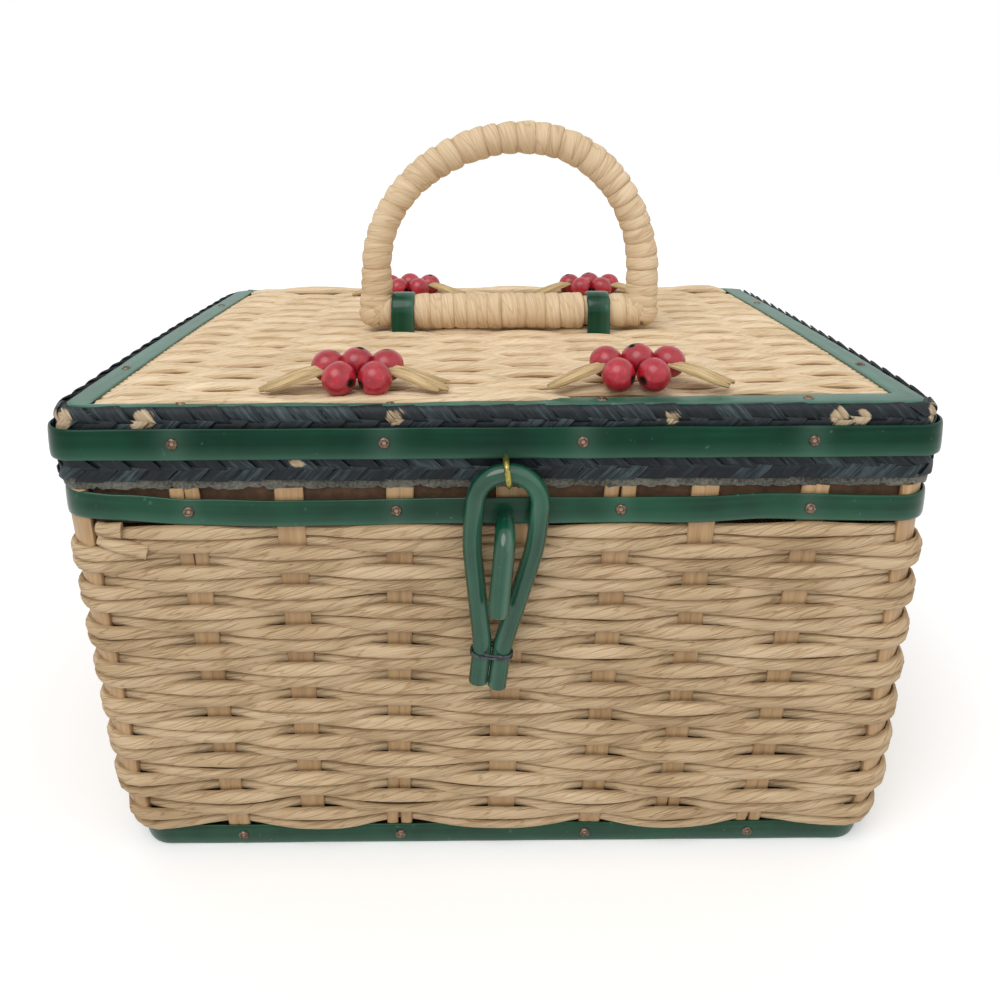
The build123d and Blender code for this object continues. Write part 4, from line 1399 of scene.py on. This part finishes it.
@dataclass
class Handle:
    """The wrapped handle and the straps that hold it, in mm."""

    x: float = 7.0
    half_width: float = 60.0
    bar_level: float = 181.8
    arch_level: float = 200.0
    leg_start: float = 187.5
    leg_shift: float = 1.0
    tape_radius: float = 5.3
    tape: float = 1.5
    per_turn: int = 18
    arch_turns: int = 35
    bar_turns: int = 20
    bar_end: float = 4.6
    arch_fat: Levels = ((0, 0.1), (15, -0.4), (40, -0.7), (80, 0.0), (130, 0.1), (175, -0.2), (213, 0.2))
    bar_fat: Levels = (
        (6, 0.9), (8.3, 0.0), (18.4, 0.0), (21.4, 1.4), (91.8, 1.4), (95.2, 0.0), (105.6, 0.0), (108, 0.9)
    )
    knot_turns: Levels = ((4, 7.2), (22, 5.6), (45, 4.4), (66, 5.6), (84, 7.6), (135, 0.0), (112, 0.0))
    strap_x: tuple[float, float] = (-39.7, 47.5)
    strap_inside: float = 8.12
    strap_foot: float = 170.8

    def rod(self, distance: float) -> tuple[Vector, Vector, Vector]:
        """Follows the arch from the foot of its left leg.

        Args:
            distance: Distance along the arch's middle line.

        Returns:
            The point, the way it goes and the direction toward the arch's middle.
        """
        leg = self.arch_level - self.leg_start
        rest = distance - leg - math.pi * self.half_width
        if distance < leg:
            foot = self.x - self.half_width + self.leg_shift
            return Vector((foot, 0, self.leg_start + distance)), UP, RIGHT
        if rest > 0:
            foot = self.x + self.half_width + self.leg_shift
            return Vector((foot, 0, self.arch_level - rest)), -UP, -RIGHT
        angle = (distance - leg) / self.half_width
        sine, cosine = math.sin(angle), math.cos(angle)
        outward = Vector((-cosine, 0, sine))
        lean = Vector((5.2 * sine**3 + self.leg_shift, 0, -0.5 * sine**2))
        centre = Vector((self.x, 0, self.arch_level))
        return centre + outward * self.half_width + lean, Vector((sine, 0, cosine)), -outward

    def bar(self, distance: float) -> tuple[Vector, Vector, Vector]:
        """Follows the bar from its left end."""
        return Vector((self.x - self.half_width + distance, 0, self.bar_level)), RIGHT, UP

    def wind(
        self,
        shell: Shell,
        rod: Callable[[float], tuple[Vector, Vector, Vector]],
        start: float,
        end: float,
        turns: int,
        seed: int,
        fat: Levels,
        phase: float = 0.0,
    ) -> None:
        """Winds the cord round a rod.

        Args:
            shell: The mesh that takes it.
            rod: Gives point, way and side for a distance.
            start: Distance of the first turn.
            end: Distance of the last turn.
            turns: Number of turns.
            seed: Seed of the unevenness.
            fat: How much thicker the winding is, as distance and extra radius.
            phase: Where a turn starts, in radians, so that it steps sideways at the back.
        """
        dice = random.Random(seed)
        widths = [dice.uniform(0.78, 1.22) for _ in range(turns)]
        bulges = [dice.uniform(-0.25, 0.1) for _ in range(turns + 2)]
        leans = [dice.uniform(-0.9, 1.2) for _ in range(turns + 2)]
        scale = (end - start) / sum(widths)
        widths = [width * scale for width in widths]
        marks = [start]
        for width in widths:
            marks.append(marks[-1] + width)
        line = Line()
        for step in range(turns * self.per_turn + 1):
            turn = min(step // self.per_turn, turns - 1)
            share = step / self.per_turn - turn
            soft = 0.2 * share + 0.8 * softened(min(share / 0.5, 1.0))
            distance = marks[turn] + widths[turn] * soft
            angle = math.tau * share + phase
            lean = leans[turn] * (1 - share) + leans[turn + 1] * share
            centre, way, side = rod(distance + lean * math.sin(angle))
            radial = side * math.cos(angle) + way.cross(side) * math.sin(angle)
            bulge = bulges[turn] * (1 - share) + bulges[turn + 1] * share
            inner = max(math.cos(angle), 0.0) ** 2 if not phase else 0.0
            radius = self.tape_radius + level_at(fat, distance) + bulge * 0.6 + 0.35 * inner
            width = widths[max(turn - 1, 0)] * (1 - share) + widths[turn] * share
            thick = self.tape + bulge * 0.3 + 0.3 * inner
            face = (radial - way * 0.14).normalized()
            line.add(centre + radial * radius, face, width * (0.70 - 0.1 * inner), thick)
        line.sweep(shell, 2.5, 12)

    def knot(self, shell: Shell, side: int) -> None:
        """Lashes one lower corner with crossing turns.

        Args:
            shell: The mesh that takes it.
            side: -1 for the left corner and 1 for the right one.
        """
        corner = Vector((self.x + side * self.half_width + 0.6, 0, self.bar_level))
        for number, (degrees, away) in enumerate(self.knot_turns):
            tilt = math.radians(degrees)
            normal = Vector((-side * math.cos(tilt), 0, math.sin(tilt)))
            second = normal.cross(-NEAR)
            swing = Wobble(number + 40 + side, 1, 4, 3)
            line = Line()
            for turn in (step / 28 for step in range(28)):
                radial = second * math.sin(math.tau * turn) - NEAR * math.cos(math.tau * turn)
                reach = 5.4 + 0.2 * swing.at(turn) - (0.3 if number % 2 else 0.0)
                point = corner + normal * (away * 0.6 + 0.4 * swing.at(turn + 0.3)) + radial * reach
                line.add(point, radial, 4.1 + 0.3 * swing.at(turn), 2.2)
            line.sweep(shell, 2.6, 12, True)

    def straps(self) -> None:
        """Bends the two straps over the bar."""
        shell = Shell()
        inside, high = self.strap_inside, self.bar_level + self.strap_inside
        ends = ((-inside, self.strap_foot), (-inside, high), (inside, high), (inside, self.strap_foot))
        for x in self.strap_x:
            points = bent([Vector((x, y, z)) for y, z in ends], (inside - 0.01, inside - 0.01), 1.2, 3.0)
            swell = Wobble(int(x), 2, 6, 3)
            line = Line()
            for index, point in enumerate(points):
                away = point - Vector((x, 0, self.bar_level))
                face = away.normalized() if away.z > 0 else NEAR * -math.copysign(1, point.y)
                line.add(point, face, 5.0 + 0.15 * swell.at(index / len(points)), 0.6)
            line.sweep(shell, 4.0, 16)
        shell.build("handle_holders", Shade.STRIP, "lid", "green_strip", "handle_straps", sharp=80)

    def build(self) -> None:
        """Builds the handle."""
        arch, bar, ends = Shell(), Shell(), Shell()
        length = 2 * (self.arch_level - self.leg_start) + math.pi * self.half_width
        self.wind(arch, self.rod, 0.0, length, self.arch_turns, 7, self.arch_fat)
        arch.build("arch_cord", Shade.TAPE, "handle", "lid_cord", "arch_wrap")
        last = 2 * self.half_width - self.bar_end
        self.wind(bar, self.bar, self.bar_end, last, self.bar_turns, 11, self.bar_fat, math.pi)
        bar.build("bar_cord", Shade.TAPE, "handle", "lid_cord", "bar_wrap")
        for side in SIDES:
            self.knot(ends, side)
        ends.build("corner_cords", Shade.TAPE, "handle", "lid_cord", "handle_ends")
        self.straps()


@dataclass
class Berries:
    """One cluster of five beads with its raffia leaves, in mm."""

    name: str
    x: float
    y: float
    seat: float
    seed: int
    spread: tuple[float, float]
    depth: float
    rise: float
    slant: float = 0.0
    radius: float = 6.0
    blades: int = 6

    def beads(self) -> None:
        """Makes the five beads."""
        shell = Shell()
        dice = random.Random(self.seed)
        front, back = self.spread
        rows = [(self.slant - front / 2, -self.depth / 2, 0.0, Vector((0.8, -0.6, -0.12)))]
        rows.append((self.slant + front / 2, -self.depth / 2, 0.0, Vector((-0.8, -0.6, -0.22))))
        for step in (-1, 0, 1):
            axis = Vector((dice.uniform(-0.5, 0.5), dice.uniform(-0.2, 0.6), 1))
            rows.append((step * back, self.depth / 2, self.rise + (0.9 if step == 0 else 0.0), axis))
        angles = [math.radians(degrees) for degrees in range(14, 168, 11)]
        profile = [(0, 4.3), (0.85, 4.4), (1.0, 5.45)]
        profile += [(self.radius * math.sin(angle), 5.72 * math.cos(angle)) for angle in angles]
        profile += [(1.0, -5.45), (0.85, -4.4), (0, -4.3)]
        for dx, dy, dz, axis in rows:
            size = Matrix.Scale(dice.uniform(0.97, 1.0), 4)
            turn = UP.rotation_difference(axis.normalized()).to_matrix().to_4x4()
            place = Matrix.Translation((self.x + dx, self.y + dy, self.seat + 5.75 + dz))
            shell.spin(profile, place @ turn @ size, 28)
        shell.build(f"{self.name}_beads", Shade.BERRY, "lid", "berry", f"{self.name}_berries", sharp=50)

    def leaves(self) -> None:
        """Makes a tapered bundle of raffia on each side."""
        shell = Shell()
        dice = random.Random(self.seed + 50)
        for side in SIDES:
            root = Vector((self.x + side * 9.5, self.y + 1.0, self.seat + 7.6))
            tip = Vector((self.x + side * 31.5, self.y - 2.5, self.seat + 1.6))
            for blade in range(self.blades):
                shift = (blade - (self.blades - 1) / 2) * 0.9
                end = tip + Vector((side * dice.uniform(-3.0, 0.8), shift * 1.5, dice.uniform(-0.3, 0.9)))
                begin = root + Vector((0, shift * 0.5, dice.uniform(-0.8, 0.8)))
                face = Vector((0, -0.6 + 0.3 * shift, 1)).normalized()
                line = Line()
                for share in (step / 14 for step in range(15)):
                    arch = 1.8 * math.sin(math.pi * share) * (1 - 0.7 * share) - 1.4 * share * (1 - share)
                    wide = 0.5 + 1.45 * math.sin(math.pi * min(1.0, share * 0.94 + 0.06)) ** 0.8
                    line.add(begin.lerp(end, share) + UP * arch, face, wide, 0.75)
                line.sweep(shell, 2.2, 8)
        shell.build(f"{self.name}_raffia", Shade.RAFFIA, "lid", "leaf", f"{self.name}_leaves")

    def build(self) -> None:
        """Builds the cluster."""
        self.beads()
        self.leaves()


@dataclass
class Catch:
    """The catch: tube loop, its wire binding, the brass staple and the peg, in mm."""

    x: float = 3.6
    y: float = -117.3
    level: float = 151.9
    lean: float = 5.8
    shift: float = 0.7
    tube: float = 3.22
    legs: Levels = ((-3.5, -73.6), (-3.3, -60.0), (-10.5, -24.0), (-10.8, 0.4))
    last_leg: tuple[float, float] = (3.6, -74.6)
    bends: tuple[float, ...] = (26, 60, 10.6, 10.6, 60, 26)
    wire: float = 0.36
    wire_turns: float = 2.3
    wire_level: float = -63.4
    wire_reach: float = 3.7
    staple_wire: float = 1.05
    staple: tuple[tuple[float, float, float], ...] = (
        (-0.9, -112.6, 156.2), (-0.8, -121.85, 156.2), (0.1, -121.85, 148.7), (0.1, -112.2, 148.7)
    )
    peg: float = 3.1
    peg_y: tuple[float, float] = (-111.0, -124.0)

    def local(self, across: float, up: float, out: float = 0.0) -> Vector:
        """Finds a point by the loop's leaning plane.

        Args:
            across: Distance to the right in that plane.
            up: Distance upward in it.
            out: Distance in front of it.

        Returns:
            The point, in mm.
        """
        sine, cosine = math.sin(math.radians(self.lean)), math.cos(math.radians(self.lean))
        x, z = self.x + across * cosine + up * sine, self.level - across * sine + up * cosine
        return Vector((x, self.y - out, z))

    def loop(self) -> None:
        """Bends the tube loop."""
        shell = Shell()
        corners = [self.local(across + self.shift, up) for across, up in self.legs]
        corners += [self.local(self.shift - across, up) for across, up in reversed(self.legs[1:])]
        line = bent([*corners, self.local(*self.last_leg)], self.bends, 1.4, 2.5)
        tube(shell, line, [self.tube] * len(line), NEAR, 14)
        shell.build("catch_loop_tube", Shade.TUBE, "catch_loop", "green_tube", "loop_tube", sharp=50)

    def binding(self) -> None:
        """Twists the wire round the loop's legs and rounds off its ends."""
        shell = Shell()
        points = []
        for turn in (step / 28 for step in range(int(self.wire_turns * 28) + 1)):
            angle = math.tau * turn
            x = math.cos(angle)
            across = self.shift + 3.3 * math.tanh(2.2 * x) + self.wire_reach * x
            up = self.wire_level + 0.8 * turn + 0.35 * math.sin(angle * 1.3)
            points.append(self.local(across, up, self.wire_reach * math.sin(angle)))
        radii = [self.wire] * len(points)
        for _ in SIDES:
            points.reverse()
            radii.reverse()
            tip, way = points[-1], (points[-1] - points[-2]).normalized()
            for angle in (math.radians(degrees) for degrees in (25, 50, 70, 84)):
                points.append(tip + way * self.wire * math.sin(angle))
                radii.append(self.wire * math.cos(angle))
        tube(shell, points, radii, UP, 6)
        shell.build("binding_wire", Shade.STEEL, "catch_loop", "binding", "loop_binding")

    def ring(self) -> None:
        """Bends the brass staple that carries the loop."""
        shell = Shell()
        line = bent([Vector((self.x + x, y, z)) for x, y, z in self.staple], (3.4, 3.4), 0.6, 2.0)
        tube(shell, line, [self.staple_wire] * len(line), RIGHT, 10)
        shell.build("brass_staple", Shade.BRASS, "lid", "wire", "catch_staple")

    def hook(self) -> None:
        """Bends the peg out of the rim and down in front of the loop."""
        shell = Shell()
        tilt = math.radians(self.lean)
        x, z = self.x + 0.6 - 17.5 * math.sin(tilt), self.level - 18.2 * math.cos(tilt)
        root, knee = (Vector((x, y, z)) for y in self.peg_y)
        end = self.local(0.9, -44.8)
        end.y = self.peg_y[1]
        line = bent([root, knee, end], (7.5,), 1.0, 2.5)
        line.append(line[-1] + (line[-1] - line[-2]).normalized() * 0.7)
        sizes = [self.peg + 0.35 * min(1.0, index / 9) for index in range(len(line))]
        sizes[-1] -= 0.7
        tube(shell, line, sizes, RIGHT, 16)
        shell.build("rim_peg", Shade.TUBE, "basket", "green_tube", "catch_peg", sharp=60)

    def build(self) -> None:
        """Builds the catch."""
        self.loop()
        self.binding()
        self.ring()
        self.hook()


@dataclass
class Hinges:
    """The two back hinges: a wire staple on the body and a folded strip on the lid, in mm."""

    x: tuple[float, float] = (-85.0, 85.0)
    y: float = 116.28
    level: float = 147.5
    foot: tuple[float, float] = (110.6, 138.0)
    half_width: float = 8.5
    wire: float = 1.2
    fold: float = 1.88
    fold_top: tuple[float, ...] = (18.0, 14.0, 9.0, 4.0, 0.0)

    def build(self) -> None:
        """Builds both hinges."""
        wires, folds = Shell(), Shell()
        for x in self.x:
            bars = ((x - self.half_width, (self.foot, (self.y, self.level))),
                    (x + self.half_width, ((self.y, self.level), self.foot)))
            corners = [Vector((side, *spot)) for side, spots in bars for spot in spots]
            points = bent(corners, (2.4, 2.4), 0.6, 2.0)
            tube(wires, points, [self.wire] * len(points), RIGHT, 10)
            line = Line()
            for height in self.fold_top:
                line.add(Vector((x, self.y - self.fold, self.level + height)), NEAR, 5.0, 0.58)
            for angle in (math.radians(180 + degrees) for degrees in range(20, 340, 20)):
                out = Vector((0, math.cos(angle), math.sin(angle)))
                line.add(Vector((x, self.y, self.level)) + out * self.fold, out, 5.0, 0.58)
            line.sweep(folds, 4.0, 14)
        wires.build("hinge_wires", Shade.BRASS, "basket", "wire", "hinge_staples")
        folds.build("hinge_folds", Shade.STRIP, "lid", "green_strip", "hinge_strips", sharp=80)


@dataclass
class Inside:
    """What lies inside: the lining, the hoops, the board and the stakes, in mm."""

    wall: Wall = field(default_factory=Wall)
    low: float = 0.35
    reed: float = 4.1
    wide_reeds: tuple[int, ...] = (4, 20)
    splits: Levels = ((1, 130.0), (3, 10.0), (5, 140.0), (6, 8.0), (7, 6.0), (16, 120.0), (19, 12.0))
    outer_levels: tuple[float, ...] = (5.0, 12.0, 22.0, 34.0, 80.0, 143.0)
    rim: Levels = ((4.7, 144.1), (5.6, 144.15), (6.3, 143.2))
    inner_levels: tuple[float, ...] = (120.0, 90.0, 60.0, 34.0, 20.0, 9.5)

    def lining(self) -> None:
        """Lines the body with padded cloth."""
        shell = Shell()
        drift, outline = self.wall.drift, self.wall.outline
        section = [(4.5 + drift(z), z) for z in self.outer_levels] + [*self.rim]
        section += [(6.5 + drift(z), z) for z in self.inner_levels] + [(8.6 + drift(6.5), 6.4)]
        tray(shell, outline, section, 4.15, 6.15, 0.2)

        def card(point: Vector) -> float:
            """1 on the outer side, which is bare card, painted dark as shade seen through the wall's gaps."""
            edge = max(abs(point.x) - outline.half_width, abs(point.y) - outline.half_depth) + drift(point.z)
            return float((edge > -5.1 and point.z < 143.5) or point.z < 5.0)

        shell.build("basket_lining", Shade.LINING, "basket", "lining", "body_lining", sharp=60, card=card)

    def reeds(self, name: str, node: str, first: int, last: int) -> None:
        """Stands the flat reeds of one side. A split one is two narrow reeds side by side.

        Args:
            name: The piece's name.
            node: The solids that they stand for.
            first: Number of the first stake, counted round the wall.
            last: Number of the last stake.
        """
        shell = Shell()
        splits = dict(self.splits)
        for index in range(first, last + 1):
            for half in SIDES if index in splits else (0,):
                gap = Wobble(index * 3 + half, 1, 5)
                line = Line()
                for step in range(31):
                    z = self.low + (self.wall.top - self.low) * step / 30
                    width = self.reed + 0.75 * z / self.wall.top + (0.7 if index in self.wide_reeds else 0.0)
                    near = max(0.0, 1 - abs(z - splits.get(index, 0.0)) / 26.0)
                    aside = half * (width / 2 - 0.25 + near * (0.7 + 0.2 * gap.at(z / 300)))
                    point, face = self.wall.spot(self.wall.stations(z)[index] + aside, z)
                    line.add(point, face, width / 2 if half else width, 0.9)
                line.sweep(shell, 3.2, 14)
        shell.build(name, Shade.REED, "basket", "reed", node)

    def corner_reeds(self) -> None:
        """Sets a rounder reed at each corner."""
        shell = Shell()
        wall = self.wall
        for across, deep in CORNERS:
            out = Vector((across, deep, 0)).normalized()
            line = Line()
            for step in range(37):
                z = self.low + (wall.top - self.low) * step / 36
                corner = wall.outline.inset(4.1 + wall.drift(z))
                spot = Vector((across * corner.half_width, deep * corner.half_depth, z)) + out * 0.3
                spot.x += wall.aside(z) - (1.2 * z / wall.top if across > 0 else 0.0)
                slim = 1 - 0.45 * max(0.0, 1 - z / 22)
                line.add(spot, (out - UP * wall.slope(z)).normalized(), 7.2 * slim, 2.6 * slim)
            line.sweep(shell, 2.0, 20)
        shell.build("corner_reeds", Shade.REED, "basket", "reed", "corner_stakes")

    def dress(self, nodes: dict[str, bpy.types.Object]) -> None:
        """Gives the solids that stay their finishes.

        Args:
            nodes: The part's solids by name.
        """
        finishes = {
            "bottom_board": Shade.BOARD,
            "rim_hoop": Shade.BOARD,
            "lid_hoop": Shade.HOOP,
            "handle_core": Shade.CORE,
            "lid_stakes": Shade.LID_REED,
        }
        for name, shade in finishes.items():
            for place in nodes[name].material_slots:
                place.link = "OBJECT"
                place.material = shade.value.material()

    def build(self, nodes: dict[str, bpy.types.Object]) -> None:
        """Builds the lining and the stakes, and dresses the rest."""
        self.lining()
        for side, first, last in (("front", 1, 7), ("right", 9, 13), ("back", 15, 21), ("left", 23, 27)):
            self.reeds(f"{side}_reeds", f"{side}_stakes", first, last)
        self.corner_reeds()
        self.dress(nodes)


@dataclass
class Studio:
    """A white studio: pale floor, soft lamps and the camera, in metres."""

    camera: tuple[float, float, float] = (-0.0056, -0.37144, 0.25693)
    pitch: float = 9.62
    yaw: float = 0.368
    roll: float = 0.187
    lens: float = 30.06
    shift: tuple[float, float] = (0.0154, -0.2159)
    warmth: tuple[float, ...] = (1.0, 0.99, 0.975, 1.0)
    light: float = 0.62
    glow: float = 0.16

    def backdrop(self) -> None:
        """Makes the world white for the eye and plain for the light."""
        world = bpy.data.worlds.new("studio")
        bpy.context.scene.world = world
        world.use_nodes = True
        tree = Tree(world.node_tree)
        plain = tree.node("Background", Color=self.warmth, Strength=self.light)
        white = tree.node("Background", Color=(1.0, 1.0, 1.0, 1.0), Strength=1.0)
        rays = [tree.node("LightPath", f"Is {ray} Ray") for ray in ("Camera", "Glossy", "Transmission")]
        seen = rays[0].math("MAXIMUM", rays[1]).math("MAXIMUM", rays[2])
        tree.end("World Output", tree.node("MixShader", i0=seen, i1=plain, i2=white))

    def floor(self) -> None:
        """Lays the pale floor."""
        mesh = bmesh.new()
        bmesh.ops.create_grid(mesh, x_segments=1, y_segments=1, size=6.0)
        data = bpy.data.meshes.new("floor")
        mesh.to_mesh(data)
        mesh.free()
        sheet = Sheet("floor_white")
        data.materials.append(sheet.dress((0.9, 0.9, 0.9, 1.0), 0.9, Specular_IOR_Level=0.0))
        dark, glow = (sheet.node("Emission", Strength=strength) for strength in (0.0, self.glow))
        pick = sheet.node("MixShader", i0=sheet.node("LightPath", "Is Camera Ray"), i1=dark, i2=glow)
        surface = Flow(sheet, sheet.surface.outputs[0])
        sheet.end("Material Output", sheet.node("AddShader", i0=surface, i1=pick))
        floor = bpy.data.objects.new("floor", data)
        bpy.context.scene.collection.objects.link(floor)

    def lamp(self, name: str, turn: tuple[float, float, float], strength: float, angle: float) -> None:
        """Hangs a soft lamp.

        Args:
            name: Its name.
            turn: Its rotation in degrees.
            strength: Its strength.
            angle: Its apparent size in degrees, which sets the shadow's softness.
        """
        light = bpy.data.lights.new(name, "SUN")
        light.energy = strength
        light.angle = math.radians(angle)
        lamp = bpy.data.objects.new(name, light)
        lamp.rotation_euler = [math.radians(value) for value in turn]
        bpy.context.scene.collection.objects.link(lamp)

    def build(self) -> None:
        """Builds the studio."""
        scene = bpy.context.scene
        scene.view_settings.view_transform = "Standard"
        self.backdrop()
        self.floor()
        self.lamp("key", (38, 0, -28), 1.5, 45)
        self.lamp("fill", (52, 0, 48), 0.5, 70)
        data = bpy.data.cameras.new("camera")
        data.lens, data.sensor_width = self.lens, 36.0
        data.shift_x, data.shift_y = self.shift
        data.clip_start, data.clip_end = 0.01, 50.0
        camera = bpy.data.objects.new("camera", data)
        camera.location = self.camera
        pose = Matrix.Identity(3)
        for angle, axis in ((-self.yaw, "Z"), (90 - self.pitch, "X"), (-self.roll, "Z")):
            pose = pose @ Matrix.Rotation(math.radians(angle), 3, axis)
        camera.rotation_euler = pose.to_euler()
        scene.collection.objects.link(camera)
        scene.camera = camera


def main() -> None:
    """Loads the part and builds its looks in order."""
    logging.basicConfig(level=logging.INFO, format="%(name)s: %(message)s")
    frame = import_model()
    Studio().build()
    WovenWall().build()
    Lid().build()
    Handle().build()
    for berries in (
        Berries("front_left", -47.8, -96.6, 173.6, 1, (12.0, 10.1), 9.9, 1.9, 1.2),
        Berries("front_right", 49.6, -93.2, 173.5, 2, (12.0, 10.9), 9.9, 1.9, -2.2),
        Berries("back_left", -44.5, 86.5, 172.0, 3, (10.9, 10.9), 9.0, 0.7),
        Berries("back_right", 56.0, 86.5, 172.0, 4, (10.9, 10.9), 9.0, 0.7),
    ):
        berries.build()
    Catch().build()
    Hinges().build()
    Inside().build(frame["nodes"])


if __name__ == "__main__":
    main()
